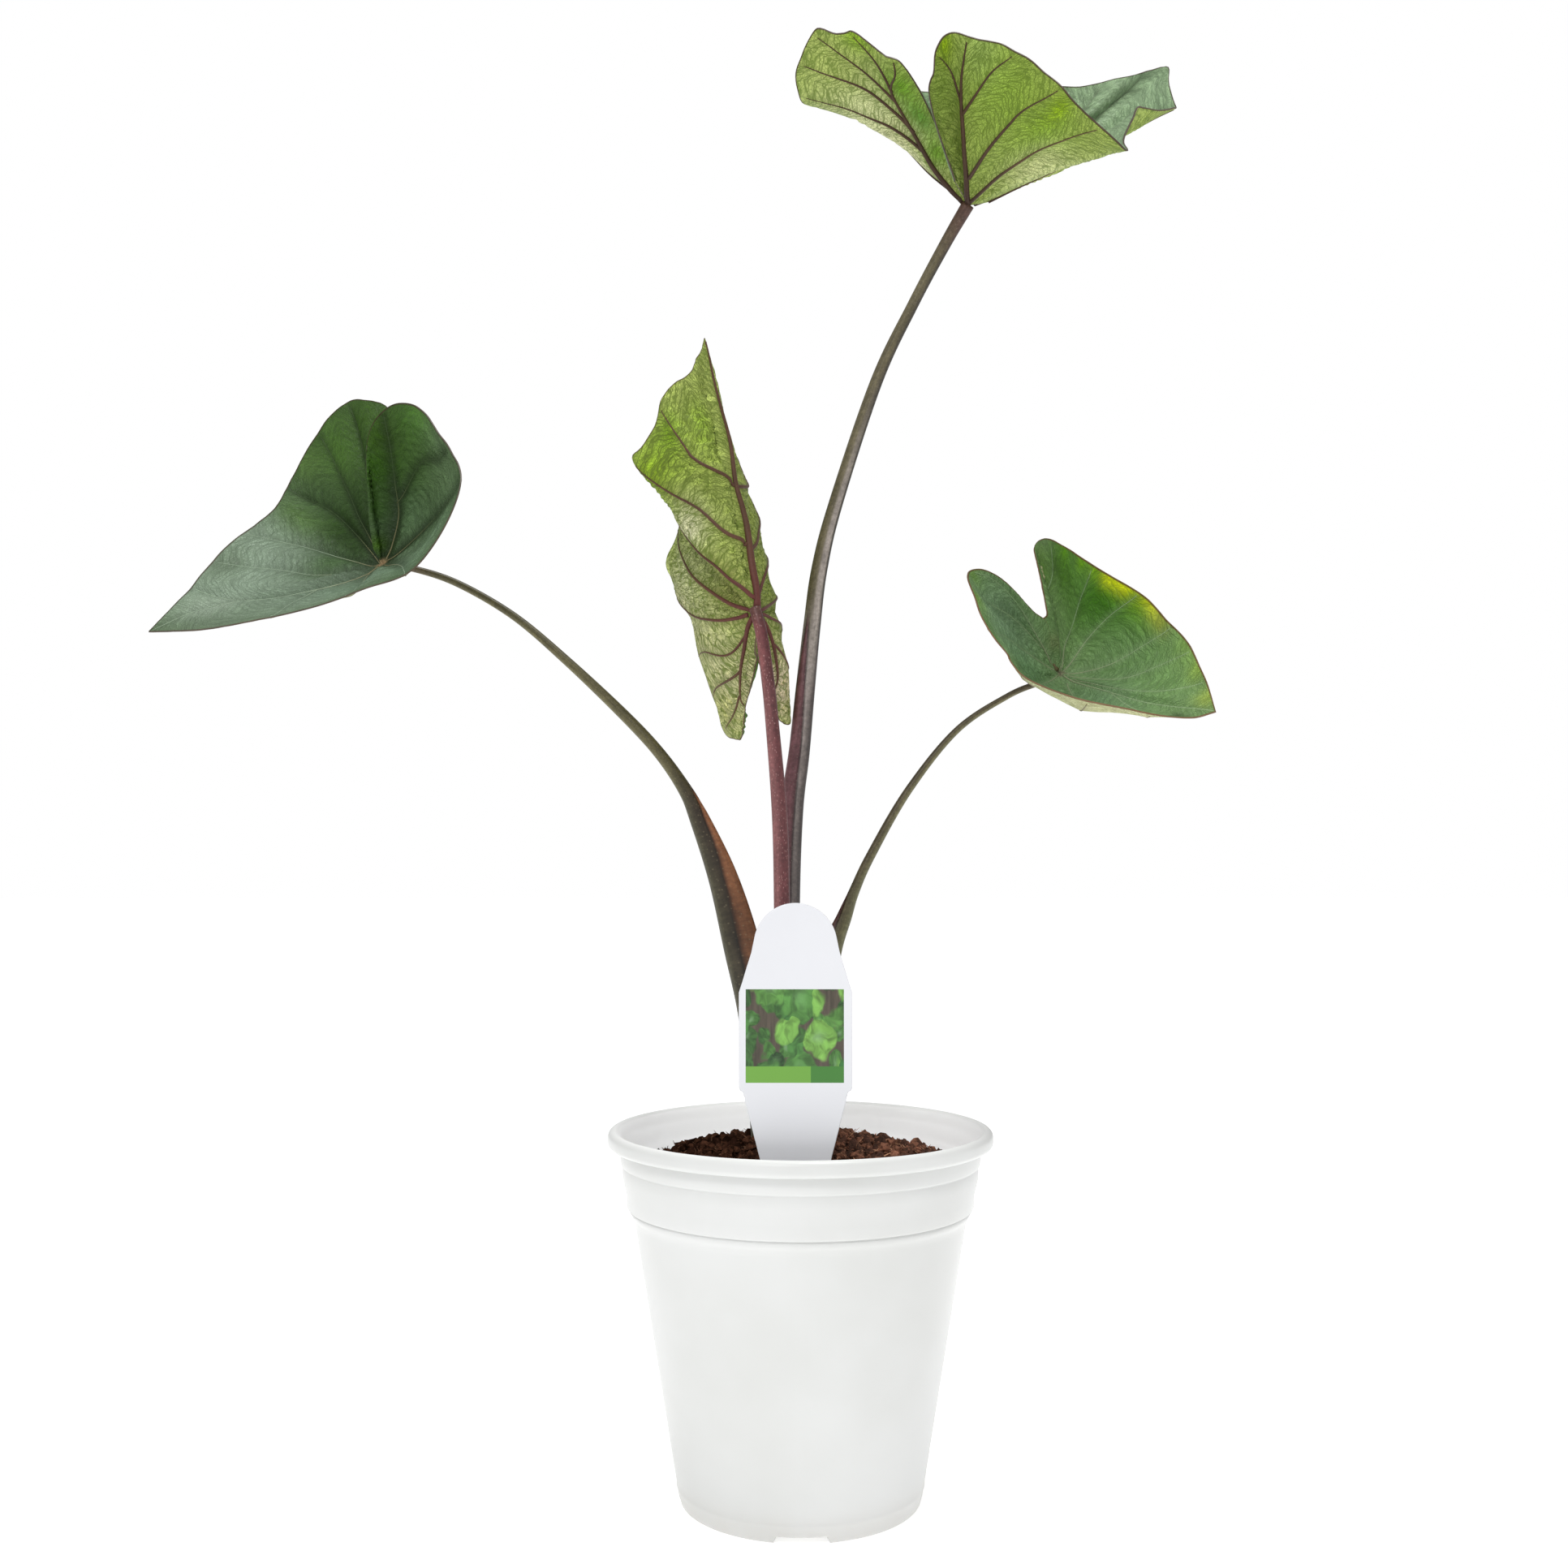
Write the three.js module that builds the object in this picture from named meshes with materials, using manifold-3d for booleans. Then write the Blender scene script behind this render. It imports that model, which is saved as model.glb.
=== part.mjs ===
// A young elephant ear plant with cup-shaped leaves, in a white plastic grower's pot.
// Millimetres, +Z up. The origin is the centre of the pot's base. The front of the pot faces -Y.
import * as THREE from 'three';
import { mergeVertices } from 'three/addons/utils/BufferGeometryUtils.js';
import Module from 'manifold-3d';

const wasm = await Module();
wasm.setup();

// Driving dimensions of the pot
const POT_HEIGHT = 110;
const LIP_RADIUS = 57.1;
const BASE_RADIUS = 35.6;
const WALL_TAPER = 0.164;
const WALL = 1.5;
const FLOOR = 3.6;
const STEP_HEIGHT = 82.5;
const STEP_RISE = 4;
const STEP_DEPTH = 1.6;
const NECK_HEIGHT = 99;
const NECK_DEPTH = 0.7;
const LIP_HEIGHT = 7.6;
const LIP_EDGE = 1.4;
const POT_SIDES = 48;
const NOTCH_COUNT = 4;
const NOTCH_WIDTH = 14;
const NOTCH_HEIGHT = 2;
const NOTCH_START = 22;
const DRAIN_WIDTH = 9;
const DRAIN_END = 33;

// Driving dimensions of the soil, the tag and the clearances
const GAP = 0.3;
const BLADE_GAP = 0.5;
const SOIL_EDGE = 95;
const SOIL_MOUND = 9.5;
const SOIL_ROUGH = 1.1;
const SOIL_RINGS = 6;
const TAG_Y = -41;
const TAG_THICK = 0.8;
const TAG_CENTRE = -1.7;
const TAG_HALF_WIDTH = 15.6;
const TAG_TOP = 176.7;
const TAG_DOME_RADIUS = 11.5;
const TAG_SHOULDER = 153;
const TAG_WAIST = 124.6;
const TAG_NOTCH = 1.7;
const TAG_TIP = 77;

// Driving dimensions of the leaves and stalks
const BLADE_THICK = 0.8;
const BLADE_COLUMNS = 40;
const BLADE_RINGS = 6;
const RIB_STEP_LENGTH = 10;
const RIB_LEAST_STEPS = 3;
const RIB_END = 0.95;
const RIB_START = 0.02;
const MIDRIB_WIDTH = 1.6;
const LOBE_RIB_WIDTH = 1.3;
const SIDE_RIB_WIDTH = 0.95;
const RIB_SINK = 0.35;
const STALK_SIDES = 10;
const STALK_STEPS = 17;
const STALK_FOOT = 82;

const radians = (degrees) => degrees * Math.PI / 180;
const mix = (from, to, share) => from + (to - from) * share;
const clamp = (value, low, high) => Math.min(high, Math.max(low, value));

// Closed geometry from vertex positions and triangles
function solidFrom(points, triangles) {
  const geometry = new THREE.BufferGeometry();
  const flat = points.flatMap((point) => [point.x, point.y, point.z]);
  geometry.setAttribute('position', new THREE.Float32BufferAttribute(flat, 3));
  geometry.setIndex(triangles.flat());
  return geometry;
}

function toManifold(geometry) {
  const bare = geometry.clone();
  bare.deleteAttribute('normal');
  bare.deleteAttribute('uv');
  const merged = mergeVertices(bare, 1e-4);
  const mesh = new wasm.Mesh({
    numProp: 3,
    vertProperties: new Float32Array(merged.attributes.position.array),
    triVerts: new Uint32Array(merged.index.array),
  });
  return new wasm.Manifold(mesh);
}

function fromManifold(solid) {
  const mesh = solid.getMesh();
  const geometry = new THREE.BufferGeometry();
  geometry.setAttribute('position', new THREE.BufferAttribute(new Float32Array(mesh.vertProperties), 3));
  geometry.setIndex(new THREE.BufferAttribute(new Uint32Array(mesh.triVerts), 1));
  return geometry;
}

// Cutting can leave scraps and joining can leave hollows: the piece with the most volume is kept
function largestPiece(solid) {
  const pieces = solid.decompose();
  return pieces.reduce((best, piece) => (piece.volume() > best.volume() ? piece : best));
}

// Rings of points joined into a closed skin, with a centre point at each end
function skinOverRings(rings, firstCentre, lastCentre) {
  const sides = rings[0].length;
  const points = [firstCentre, ...rings.flat(), lastCentre];
  const last = points.length - 1;
  const at = (ring, side) => 1 + ring * sides + (side % sides);
  const triangles = [];
  for (let side = 0; side < sides; side += 1) {
    triangles.push([0, at(0, side + 1), at(0, side)]);
    for (let ring = 0; ring + 1 < rings.length; ring += 1) {
      triangles.push([at(ring, side), at(ring, side + 1), at(ring + 1, side + 1)]);
      triangles.push([at(ring, side), at(ring + 1, side + 1), at(ring + 1, side)]);
    }
    triangles.push([last, at(rings.length - 1, side), at(rings.length - 1, side + 1)]);
  }
  return solidFrom(points, triangles);
}

// Closed plate between two like grids of points, given as columns from a shared point outwards. Each
// facet of one face has its like on the other. Triangles with no area, at the shared point, are dropped.
function plateBetween(under, upper) {
  const rings = under[0].length;
  const columns = under.length;
  const points = [...under.flat(), ...upper.flat()];
  const low = (column, ring) => column * rings + ring;
  const high = (column, ring) => low(column, ring) + columns * rings;
  const triangles = [];
  for (let column = 0; column + 1 < columns; column += 1) {
    for (let ring = 0; ring + 1 < rings; ring += 1) {
      const corners = [[column, ring], [column + 1, ring], [column + 1, ring + 1], [column, ring + 1]];
      const [a, b, c, d] = corners.map((corner) => low(...corner));
      const [e, f, g, h] = corners.map((corner) => high(...corner));
      triangles.push([a, b, c], [a, c, d], [e, g, f], [e, h, g]);
    }
    const [from, to] = [[column, rings - 1], [column + 1, rings - 1]];
    triangles.push([low(...from), low(...to), high(...to)], [low(...from), high(...to), high(...from)]);
  }
  for (let ring = 0; ring + 1 < rings; ring += 1) {
    const [from, to] = [[0, ring], [0, ring + 1]];
    triangles.push([low(...from), low(...to), high(...to)], [low(...from), high(...to), high(...from)]);
    const [start, end] = [[columns - 1, ring + 1], [columns - 1, ring]];
    triangles.push([low(...start), low(...end), high(...end)], [low(...start), high(...end), high(...start)]);
  }
  const apart = (one, other) => points[one].distanceTo(points[other]) > 1e-6;
  return solidFrom(points, triangles.filter(([a, b, c]) => apart(a, b) && apart(b, c) && apart(c, a)));
}

// Pot: one lathe profile, outside and inside, with drain notches cut in the foot
const wallRadius = (height) => BASE_RADIUS + WALL_TAPER * height;
const innerRadius = (height) => {
  const step = STEP_DEPTH * clamp((height - STEP_HEIGHT) / STEP_RISE, 0, 1);
  return wallRadius(height) + step - WALL;
};

function potProfile() {
  const collar = STEP_HEIGHT + STEP_RISE;
  const lipFoot = POT_HEIGHT - LIP_HEIGHT;
  const neckRadius = wallRadius(NECK_HEIGHT) + STEP_DEPTH * 0.6;
  const outside = [
    [BASE_RADIUS - 1.2, 0],
    [wallRadius(1.2), 1.2],
    [wallRadius(STEP_HEIGHT), STEP_HEIGHT],
    [wallRadius(STEP_HEIGHT) + STEP_DEPTH * 0.8, STEP_HEIGHT + STEP_RISE * 0.5],
    [wallRadius(collar) + STEP_DEPTH, collar],
    [neckRadius, NECK_HEIGHT - 0.6],
    [neckRadius + NECK_DEPTH, NECK_HEIGHT + 0.4],
    [neckRadius + NECK_DEPTH + 0.3, lipFoot],
    [LIP_RADIUS - LIP_EDGE, lipFoot + 0.8],
    [LIP_RADIUS - 0.3, lipFoot + 2.6],
    [LIP_RADIUS, lipFoot + 4.4],
    [LIP_RADIUS - 0.5, POT_HEIGHT - 1.5],
    [LIP_RADIUS - 1.7, POT_HEIGHT - 0.3],
    [LIP_RADIUS - 3, POT_HEIGHT],
  ];
  const inside = [
    [LIP_RADIUS - 4.2, POT_HEIGHT - 0.8],
    [innerRadius(NECK_HEIGHT) + 0.6, POT_HEIGHT - 4.5],
    [innerRadius(NECK_HEIGHT), NECK_HEIGHT],
    [innerRadius(collar), collar],
    [innerRadius(STEP_HEIGHT), STEP_HEIGHT],
    [innerRadius(FLOOR + 1.5), FLOOR + 1.5],
    [innerRadius(FLOOR) - 1.5, FLOOR],
    [0, FLOOR],
  ];
  return [[0, 0], ...outside, ...inside, [0, 0]].map(([radius, height]) => new THREE.Vector2(radius, height));
}

function makePot() {
  const lathe = new THREE.LatheGeometry(potProfile(), POT_SIDES);
  lathe.rotateX(Math.PI / 2);
  let solid = toManifold(lathe);
  const cutLength = BASE_RADIUS + 4 - NOTCH_START;
  const below = 1;
  for (let count = 0; count < NOTCH_COUNT; count += 1) {
    const turn = count * 2 * Math.PI / NOTCH_COUNT - Math.PI / 2;
    const notch = new THREE.BoxGeometry(cutLength, NOTCH_WIDTH, NOTCH_HEIGHT + below);
    notch.translate(NOTCH_START + cutLength / 2, 0, (NOTCH_HEIGHT - below) / 2);
    const drain = new THREE.BoxGeometry(DRAIN_END - NOTCH_START - 1, DRAIN_WIDTH, FLOOR);
    drain.translate((DRAIN_END + NOTCH_START + 1) / 2, 0, NOTCH_HEIGHT + FLOOR / 2 - below);
    for (const cutter of [notch, drain]) {
      cutter.rotateZ(turn);
      solid = solid.subtract(toManifold(cutter));
    }
  }
  return fromManifold(solid);
}

// Soil: a rough mound inside the pot, with a plain hole for each stalk and a slot for the tag
function roughness(ring, side) {
  const wave = Math.sin(ring * 12.9898 + side * 78.233) * 43758.5453;
  return (wave - Math.floor(wave)) * 2 - 1;
}

function soilHeight(x, y) {
  const share = Math.hypot(x, y) / innerRadius(SOIL_EDGE);
  const mound = SOIL_MOUND * (1 - share * share);
  const lean = 1.2 * Math.sin(x * 0.11 + 1.3) * Math.cos(y * 0.09) * (1 - share);
  return SOIL_EDGE + mound + lean;
}

function makeSoil(cutters) {
  const rings = [];
  const circle = (radius, height) => Array.from({ length: POT_SIDES }, (unused, side) => {
    const angle = side * 2 * Math.PI / POT_SIDES;
    return new THREE.Vector3(Math.sin(angle) * radius, -Math.cos(angle) * radius, height);
  });
  const floor = FLOOR + GAP;
  const collar = STEP_HEIGHT + STEP_RISE;
  const sideHeights = [FLOOR + 1.5 + GAP, STEP_HEIGHT + GAP, collar + GAP, SOIL_EDGE];
  rings.push(circle(innerRadius(FLOOR) - 1.5 - 2 * GAP, floor));
  for (const height of sideHeights) {
    rings.push(circle(innerRadius(height) - GAP - 0.05, height));
  }
  for (let ring = SOIL_RINGS - 1; ring > 0; ring -= 1) {
    const radius = (innerRadius(SOIL_EDGE) - GAP) * ring / SOIL_RINGS;
    rings.push(circle(radius, 0).map((point, side) => {
      const height = soilHeight(point.x, point.y) + SOIL_ROUGH * roughness(ring, side);
      return point.setZ(height);
    }));
  }
  const bottom = new THREE.Vector3(0, 0, floor);
  const top = new THREE.Vector3(0, 0, soilHeight(0, 0));
  let solid = toManifold(skinOverRings(rings, bottom, top));
  for (const cutter of cutters) {
    solid = solid.subtract(cutter);
  }
  return fromManifold(largestPiece(solid));
}

// Plant tag: a domed head with square shoulders, a nicked waist and a tapering stake
function tagShape(grow) {
  const half = TAG_HALF_WIDTH + grow;
  const neck = half - TAG_NOTCH;
  const dome = TAG_DOME_RADIUS + grow;
  const domeHeight = TAG_TOP - TAG_DOME_RADIUS;
  const domeStart = radians(20);
  const shape = new THREE.Shape();
  shape.moveTo(0, TAG_TIP - 2 * grow);
  shape.lineTo(neck, TAG_WAIST - 1.5);
  shape.lineTo(half, TAG_WAIST + 1);
  shape.lineTo(half, TAG_SHOULDER);
  shape.lineTo(dome * Math.cos(domeStart), domeHeight + dome * Math.sin(domeStart) - 1.5);
  shape.absarc(0, domeHeight, dome, domeStart, Math.PI - domeStart, false);
  shape.lineTo(-dome * Math.cos(domeStart), domeHeight + dome * Math.sin(domeStart) - 1.5);
  shape.lineTo(-half, TAG_SHOULDER);
  shape.lineTo(-half, TAG_WAIST + 1);
  shape.lineTo(-neck, TAG_WAIST - 1.5);
  shape.closePath();
  return shape;
}

function makeTag(grow) {
  const depth = TAG_THICK + 2 * grow;
  const tag = new THREE.ExtrudeGeometry(tagShape(grow), { depth, bevelEnabled: false, curveSegments: 9 });
  tag.rotateX(Math.PI / 2);
  tag.translate(TAG_CENTRE, TAG_Y + depth / 2, 0);
  return toManifold(tag);
}

// Leaves. A blade is a fan of spokes round its attach point. A spoke is [angle, x, y, z, sag]: the angle
// in the flat leaf from the tip (0) to the notch (180), the place of its end on the margin, and how far
// it sags towards the underside. Ribs leave the midrib or a lobe's rib at a share of its length and end
// at an angle on the margin.
const LEAVES = {
  left: {
    attach: [-126, 0, 277],
    tip: [0, -188, -24, 254, 0],
    right: [
      [-180, -123, 6, 281.5, 0], [-172, -124.5, 13, 291, 0], [-160, -132, 33, 331, 1], [-146, -141, 35, 336, 3], [-122, -152, 37, 330, 5],
      [-95, -163, 35, 311, 6], [-68, -166, 28, 299, 6], [-44, -173, 14, 289, 5], [-24, -180, -6, 270, 3],
    ],
    left: [
      [16, -166, -34, 254, 1], [34, -137, -42, 257, 2], [50, -120, -46, 263, 2], [64, -106, -46, 270, 3],
      [82, -96, -40, 287, 5], [100, -98, -30, 303, 6], [120, -108, -18, 317, 6], [140, -121, -3, 325, 5],
      [156, -130.5, 3, 317, 2], [171, -130, 2, 295, 0],
      [180, -128.5, 2, 282, 0],
    ],
    wave: [0.8, 7, 0.4],
    lobe: 142,
    midribRibs: [[0.03, 66], [0.12, 40], [0.36, 20]],
    lobeRibs: [[0.4, 105], [0.5, 163]],
  },
  right: {
    attach: [78, 0, 244],
    tip: [0, 114, -42, 230, 0],
    right: [
      [-180, 73, -2, 260, 0], [-168, 67, -10, 263, 1], [-150, 57, -18, 271, 2], [-132, 49, -24, 270, 2], [-110, 51, -30, 260, 2],
      [-88, 57, -36, 247, 2], [-66, 61, -38, 240, 2], [-46, 75, -40, 235, 4], [-26, 92, -42, 230, 4],
      [-10, 106, -42, 230, 3],
    ],
    left: [
      [12, 114, -30, 241, 3], [28, 111, -14, 255, 5], [46, 103, 0, 268, 6], [68, 91, 12, 278, 7],
      [94, 82.6, 22, 287, 7], [118, 78.2, 30, 290, 5], [138, 75.3, 30, 286, 1], [156, 74.5, 16, 274.6, 0],
      [171, 73.8, 5, 264.5, 0], [180, 73, -2, 260, 0],
    ],
    wave: [0.7, 8, 2.1],
    lobe: 132,
    midribRibs: [[0.03, 60], [0.1, 36], [0.3, 17]],
    lobeRibs: [[0.3, 98], [0.5, 158]],
  },
  tall: {
    attach: [51, 0, 387],
    tip: [0, 120, 24, 428, 0],
    right: [
      [-180, 46.3, -9.5, 390.8, 0], [-174, 39, -28.5, 400.5, 0], [-164, 37, -38, 409, 0], [-150, 41, -42, 419, 1], [-128, 50, -46, 416, 2],
      [-106, 61, -50, 409, 2], [-84, 71, -52, 400, 1], [-62, 78, -50, 393, -1], [-42, 89, -42, 387, -1],
      [-26, 95, -24, 399, 1], [-15, 102, -8, 413, 3], [-7, 111, 8, 419, 3],
    ],
    left: [
      [9, 117, 26, 441, 3], [24, 104, 22, 436, 5], [44, 85, 24, 434, 6], [68, 63, 30, 436, 6],
      [90, 41, 30, 435, 5], [110, 19, 22, 431, 1], [128, 2, 4, 420, -4], [139, -1, -12, 424, -3],
      [150, 5, -22, 429, -3], [158, 14, -27, 427, -2], [165, 23, -28, 421, -1], [171, 31, -27, 415, 0],
      [176, 37.5, -22, 406, 0], [180, 46.8, -8.1, 393.2, 0],
    ],
    wave: [0.9, 9, 1.2],
    lobe: 148,
    midribRibs: [[0.03, 56], [0.22, 30], [0.45, 17]],
    lobeRibs: [[0.22, 82], [0.5, 112], [0.6, 163]],
  },
  middle: {
    attach: [-13, -14, 260],
    tip: [0, -29, 0, 346, -1],
    right: [
      [-180, -13, -12, 250, 0], [-172, -16, -4, 236, 1], [-162, -19, 6, 224, 2], [-150, -24, 12, 231, 3], [-132, -31, 18, 252, 5],
      [-112, -37, 26, 270, 8], [-92, -42, 27, 283, 9], [-72, -38, 22, 295, 9], [-54, -41, 14, 306, 7],
      [-40, -50, 4, 312, 4], [-29, -42, -2, 323, 4], [-18, -38, -3, 332, 3], [-8, -32, -2, 338, 2],
    ],
    left: [
      [8, -27, 10, 339, 2], [20, -25, 20, 329, 4], [38, -21, 30, 312, 5], [60, -16, 36, 292, 5],
      [84, -13, 38, 277, 5], [108, -10, 34, 262, 5], [132, -6, 22, 248, 4], [150, -3, 8, 231, 3],
      [162, -6, 1, 231, 2], [172, -9, -5, 239, 1],
      [180, -13, -12, 250, 0],
    ],
    wave: [0.8, 10, 0],
    lobe: 150,
    midribRibs: [[0.02, 84], [0.07, 58], [0.28, 42], [0.47, 29]],
    lobeRibs: [[0.3, 118], [0.55, 164]],
  },
};

// Smooth row through a list of rows, at a place from 0 to 1 along it
function alongRows(rows, place) {
  const last = rows.length - 1;
  const along = clamp(place, 0, 1) * last;
  const index = Math.min(Math.floor(along), last - 1);
  const share = along - index;
  const row = (number, column) => {
    if (number < 0) {
      return 2 * rows[0][column] - rows[1][column];
    }
    if (number > last) {
      return 2 * rows[last][column] - rows[last - 1][column];
    }
    return rows[number][column];
  };
  return rows[0].map((unused, column) => {
    const [before, from, to, after] = [-1, 0, 1, 2].map((step) => row(index + step, column));
    const slope = share * (to - before);
    const bend = share * share * (2 * before - 5 * from + 4 * to - after);
    const twist = share * share * share * (3 * from - before - 3 * to + after);
    return from + (slope + bend + twist) / 2;
  });
}

class Blade {
  constructor(leaf) {
    this.leaf = leaf;
    this.attach = new THREE.Vector3(...leaf.attach);
    this.rightRows = [...leaf.right, leaf.tip];
    this.leftRows = [leaf.tip, ...leaf.left];
    const samples = 180;
    this.margin = Array.from({ length: samples + 1 }, (unused, count) => {
      const place = mix(-1, 1, count / samples);
      const [angle, x, y, z] = this.spoke(place);
      return { place, angle, length: new THREE.Vector3(x, y, z).distanceTo(this.attach) };
    });
  }

  // The place runs from -1 at the notch, over 0 at the tip, to 1 at the notch again
  spoke(place) {
    return place < 0 ? alongRows(this.rightRows, place + 1) : alongRows(this.leftRows, place);
  }

  spokeEnd(place) {
    const [, x, y, z] = this.spoke(clamp(place, -1, 1));
    return new THREE.Vector3(x, y, z).sub(this.attach);
  }

  // Direction of the underside along one spoke
  under(place) {
    const sum = new THREE.Vector3();
    for (const reach of [0.04, 0.08, 0.12]) {
      sum.add(this.spokeEnd(place + reach).cross(this.spokeEnd(place - reach)).normalize());
    }
    return sum.normalize();
  }

  // Point on the middle surface, at a share of the spoke from the attach point to the margin
  point(place, share) {
    const [angle, , , , sag] = this.spoke(place);
    const [height, count, phase] = this.leaf.wave;
    const fade = Math.min(1, 2 * (1 - Math.abs(place)));
    const wave = height * fade * share * share * Math.sin(radians(angle) * count + phase);
    const lift = 4 * sag * share * (1 - share) + wave;
    return this.spokeEnd(place).multiplyScalar(share).addScaledVector(this.under(place), lift).add(this.attach);
  }

  // Place of the spoke at an angle, and its length
  at(angle) {
    const next = this.margin.findIndex((sample) => sample.angle >= angle);
    const upper = clamp(next, 1, this.margin.length - 1);
    const [low, high] = [this.margin[upper - 1], this.margin[upper]];
    const share = clamp((angle - low.angle) / (high.angle - low.angle), 0, 1);
    return { place: mix(low.place, high.place, share), length: mix(low.length, high.length, share) };
  }

  flat(angle, share) {
    const length = this.at(angle).length * share;
    return new THREE.Vector2(Math.cos(radians(angle)) * length, Math.sin(radians(angle)) * length);
  }

  fromFlat(point) {
    const angle = Math.atan2(point.y, point.x) * 180 / Math.PI;
    const { place, length } = this.at(angle);
    return { place, share: Math.min(1, point.length() / length) };
  }

  grid() {
    this.rows = Array.from({ length: BLADE_COLUMNS + 1 }, (unused, column) => {
      const place = 2 * column / BLADE_COLUMNS - 1;
      return Array.from({ length: BLADE_RINGS + 1 }, (none, ring) => this.point(place, ring / BLADE_RINGS));
    });
    const hub = new THREE.Vector3();
    this.normals = this.rows.map((row, column) => row.map((point, ring) => {
      return ring === 0 ? hub : this.gridNormal(column, ring);
    }));
    this.normals.forEach((column) => hub.add(column[1]));
    hub.normalize();
  }

  gridNormal(column, ring) {
    const after = this.rows[Math.min(column + 1, BLADE_COLUMNS)][ring];
    const before = this.rows[Math.max(column - 1, 0)][ring];
    const outward = this.rows[column][ring].clone().sub(this.rows[column][ring - 1]);
    return after.clone().sub(before).cross(outward).normalize();
  }

  // Point and underside direction on the flat facets between the grid's points
  onFacets(place, share) {
    const column = Math.min((place + 1) / 2 * BLADE_COLUMNS, BLADE_COLUMNS - 1e-6);
    const ring = Math.min(share * BLADE_RINGS, BLADE_RINGS - 1e-6);
    const [c, r] = [Math.floor(column), Math.floor(ring)];
    const [u, v] = [column - c, ring - r];
    const corner = (table, across, along) => table[c + across][r + along];
    const parts = u < v
      ? [[0, 0, 1 - v], [0, 1, v - u], [1, 1, u]]
      : [[0, 0, 1 - u], [1, 0, u - v], [1, 1, v]];
    const blend = (table) => parts.reduce((sum, [across, along, weight]) => {
      return sum.addScaledVector(corner(table, across, along), weight);
    }, new THREE.Vector3());
    return { point: blend(this.rows), under: blend(this.normals).normalize() };
  }

  // The halves on the two sides of the midrib share one column, so that they join, and meet at the notch
  plate(half) {
    const middle = BLADE_COLUMNS / 2;
    const halves = [[0, middle + 2], [middle, BLADE_COLUMNS + 1]].map(([start, end]) => {
      const face = (sign) => this.rows.slice(start, end).map((row, column) => row.map((point, ring) => {
        return point.clone().addScaledVector(this.normals[start + column][ring], sign * half);
      }));
      return toManifold(plateBetween(face(1), face(-1)));
    });
    return halves[0].add(halves[1]);
  }

  // Angle of the spoke in the grid that lies nearest to an angle
  gridAngle(angle) {
    const column = Math.round(this.at(angle).place * BLADE_COLUMNS / 2);
    return this.spoke(2 * column / BLADE_COLUMNS)[0];
  }

  // Course of a rib in the flat leaf, bent a little away from the tip
  ribCourse(start, end) {
    const across = end.clone().sub(start);
    const side = Math.sign(end.y) || 1;
    const bulge = new THREE.Vector2(-across.y, across.x).multiplyScalar(0.12 * side);
    const middle = start.clone().add(end).multiplyScalar(0.5).add(bulge);
    return new THREE.QuadraticBezierCurve(start, middle, end);
  }

  ribCourses() {
    const { lobe, midribRibs, lobeRibs } = this.leaf;
    const straight = (angle) => new THREE.LineCurve(this.flat(angle, RIB_START), this.flat(angle, RIB_END));
    const branch = (angle, share, end) => this.ribCourse(this.flat(angle, share), this.flat(end, RIB_END));
    const courses = [{ course: straight(0), width: MIDRIB_WIDTH }];
    for (const side of [1, -1]) {
      const lobeAngle = this.gridAngle(side * lobe);
      courses.push({ course: straight(lobeAngle), width: LOBE_RIB_WIDTH });
      for (const [share, end] of midribRibs) {
        courses.push({ course: branch(0, share, side * end), width: SIDE_RIB_WIDTH });
      }
      for (const [share, end] of lobeRibs) {
        courses.push({ course: branch(lobeAngle, share, side * end), width: SIDE_RIB_WIDTH });
      }
    }
    return courses;
  }

  // A rib: a ridge with three sides, its flat foot sunk in the blade's underside
  rib({ course, width }, grow) {
    const steps = Math.max(RIB_LEAST_STEPS, Math.round(course.getLength() / RIB_STEP_LENGTH));
    const spots = Array.from({ length: steps + 1 }, (unused, count) => {
      const { place, share } = this.fromFlat(course.getPoint(count / steps));
      return this.onFacets(place, share);
    });
    const rings = spots.map(({ point, under }, count) => {
      const ahead = spots[Math.min(count + 1, steps)].point;
      const behind = spots[Math.max(count - 1, 0)].point;
      const side = ahead.clone().sub(behind).cross(under).normalize();
      const half = (width + grow) * mix(1, 0.45, count / steps);
      const foot = point.clone().addScaledVector(under, BLADE_THICK / 2 - RIB_SINK);
      const crest = point.clone().addScaledVector(under, BLADE_THICK / 2 + half * 0.9 + grow * 0.5);
      return [
        foot.clone().addScaledVector(side, -half),
        crest,
        foot.clone().addScaledVector(side, half),
      ];
    });
    const centre = (ring) => ring.reduce((sum, point) => sum.add(point), new THREE.Vector3()).divideScalar(3);
    return toManifold(skinOverRings(rings, centre(rings[0]), centre(rings[steps])));
  }

  solid(grow) {
    const plate = this.plate(BLADE_THICK / 2 + grow);
    return this.ribCourses().reduce((sum, rib) => sum.add(this.rib(rib, grow)), plate);
  }
}

const blades = {};
for (const [name, leaf] of Object.entries(LEAVES)) {
  blades[name] = new Blade(leaf);
  blades[name].grid();
}

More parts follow.
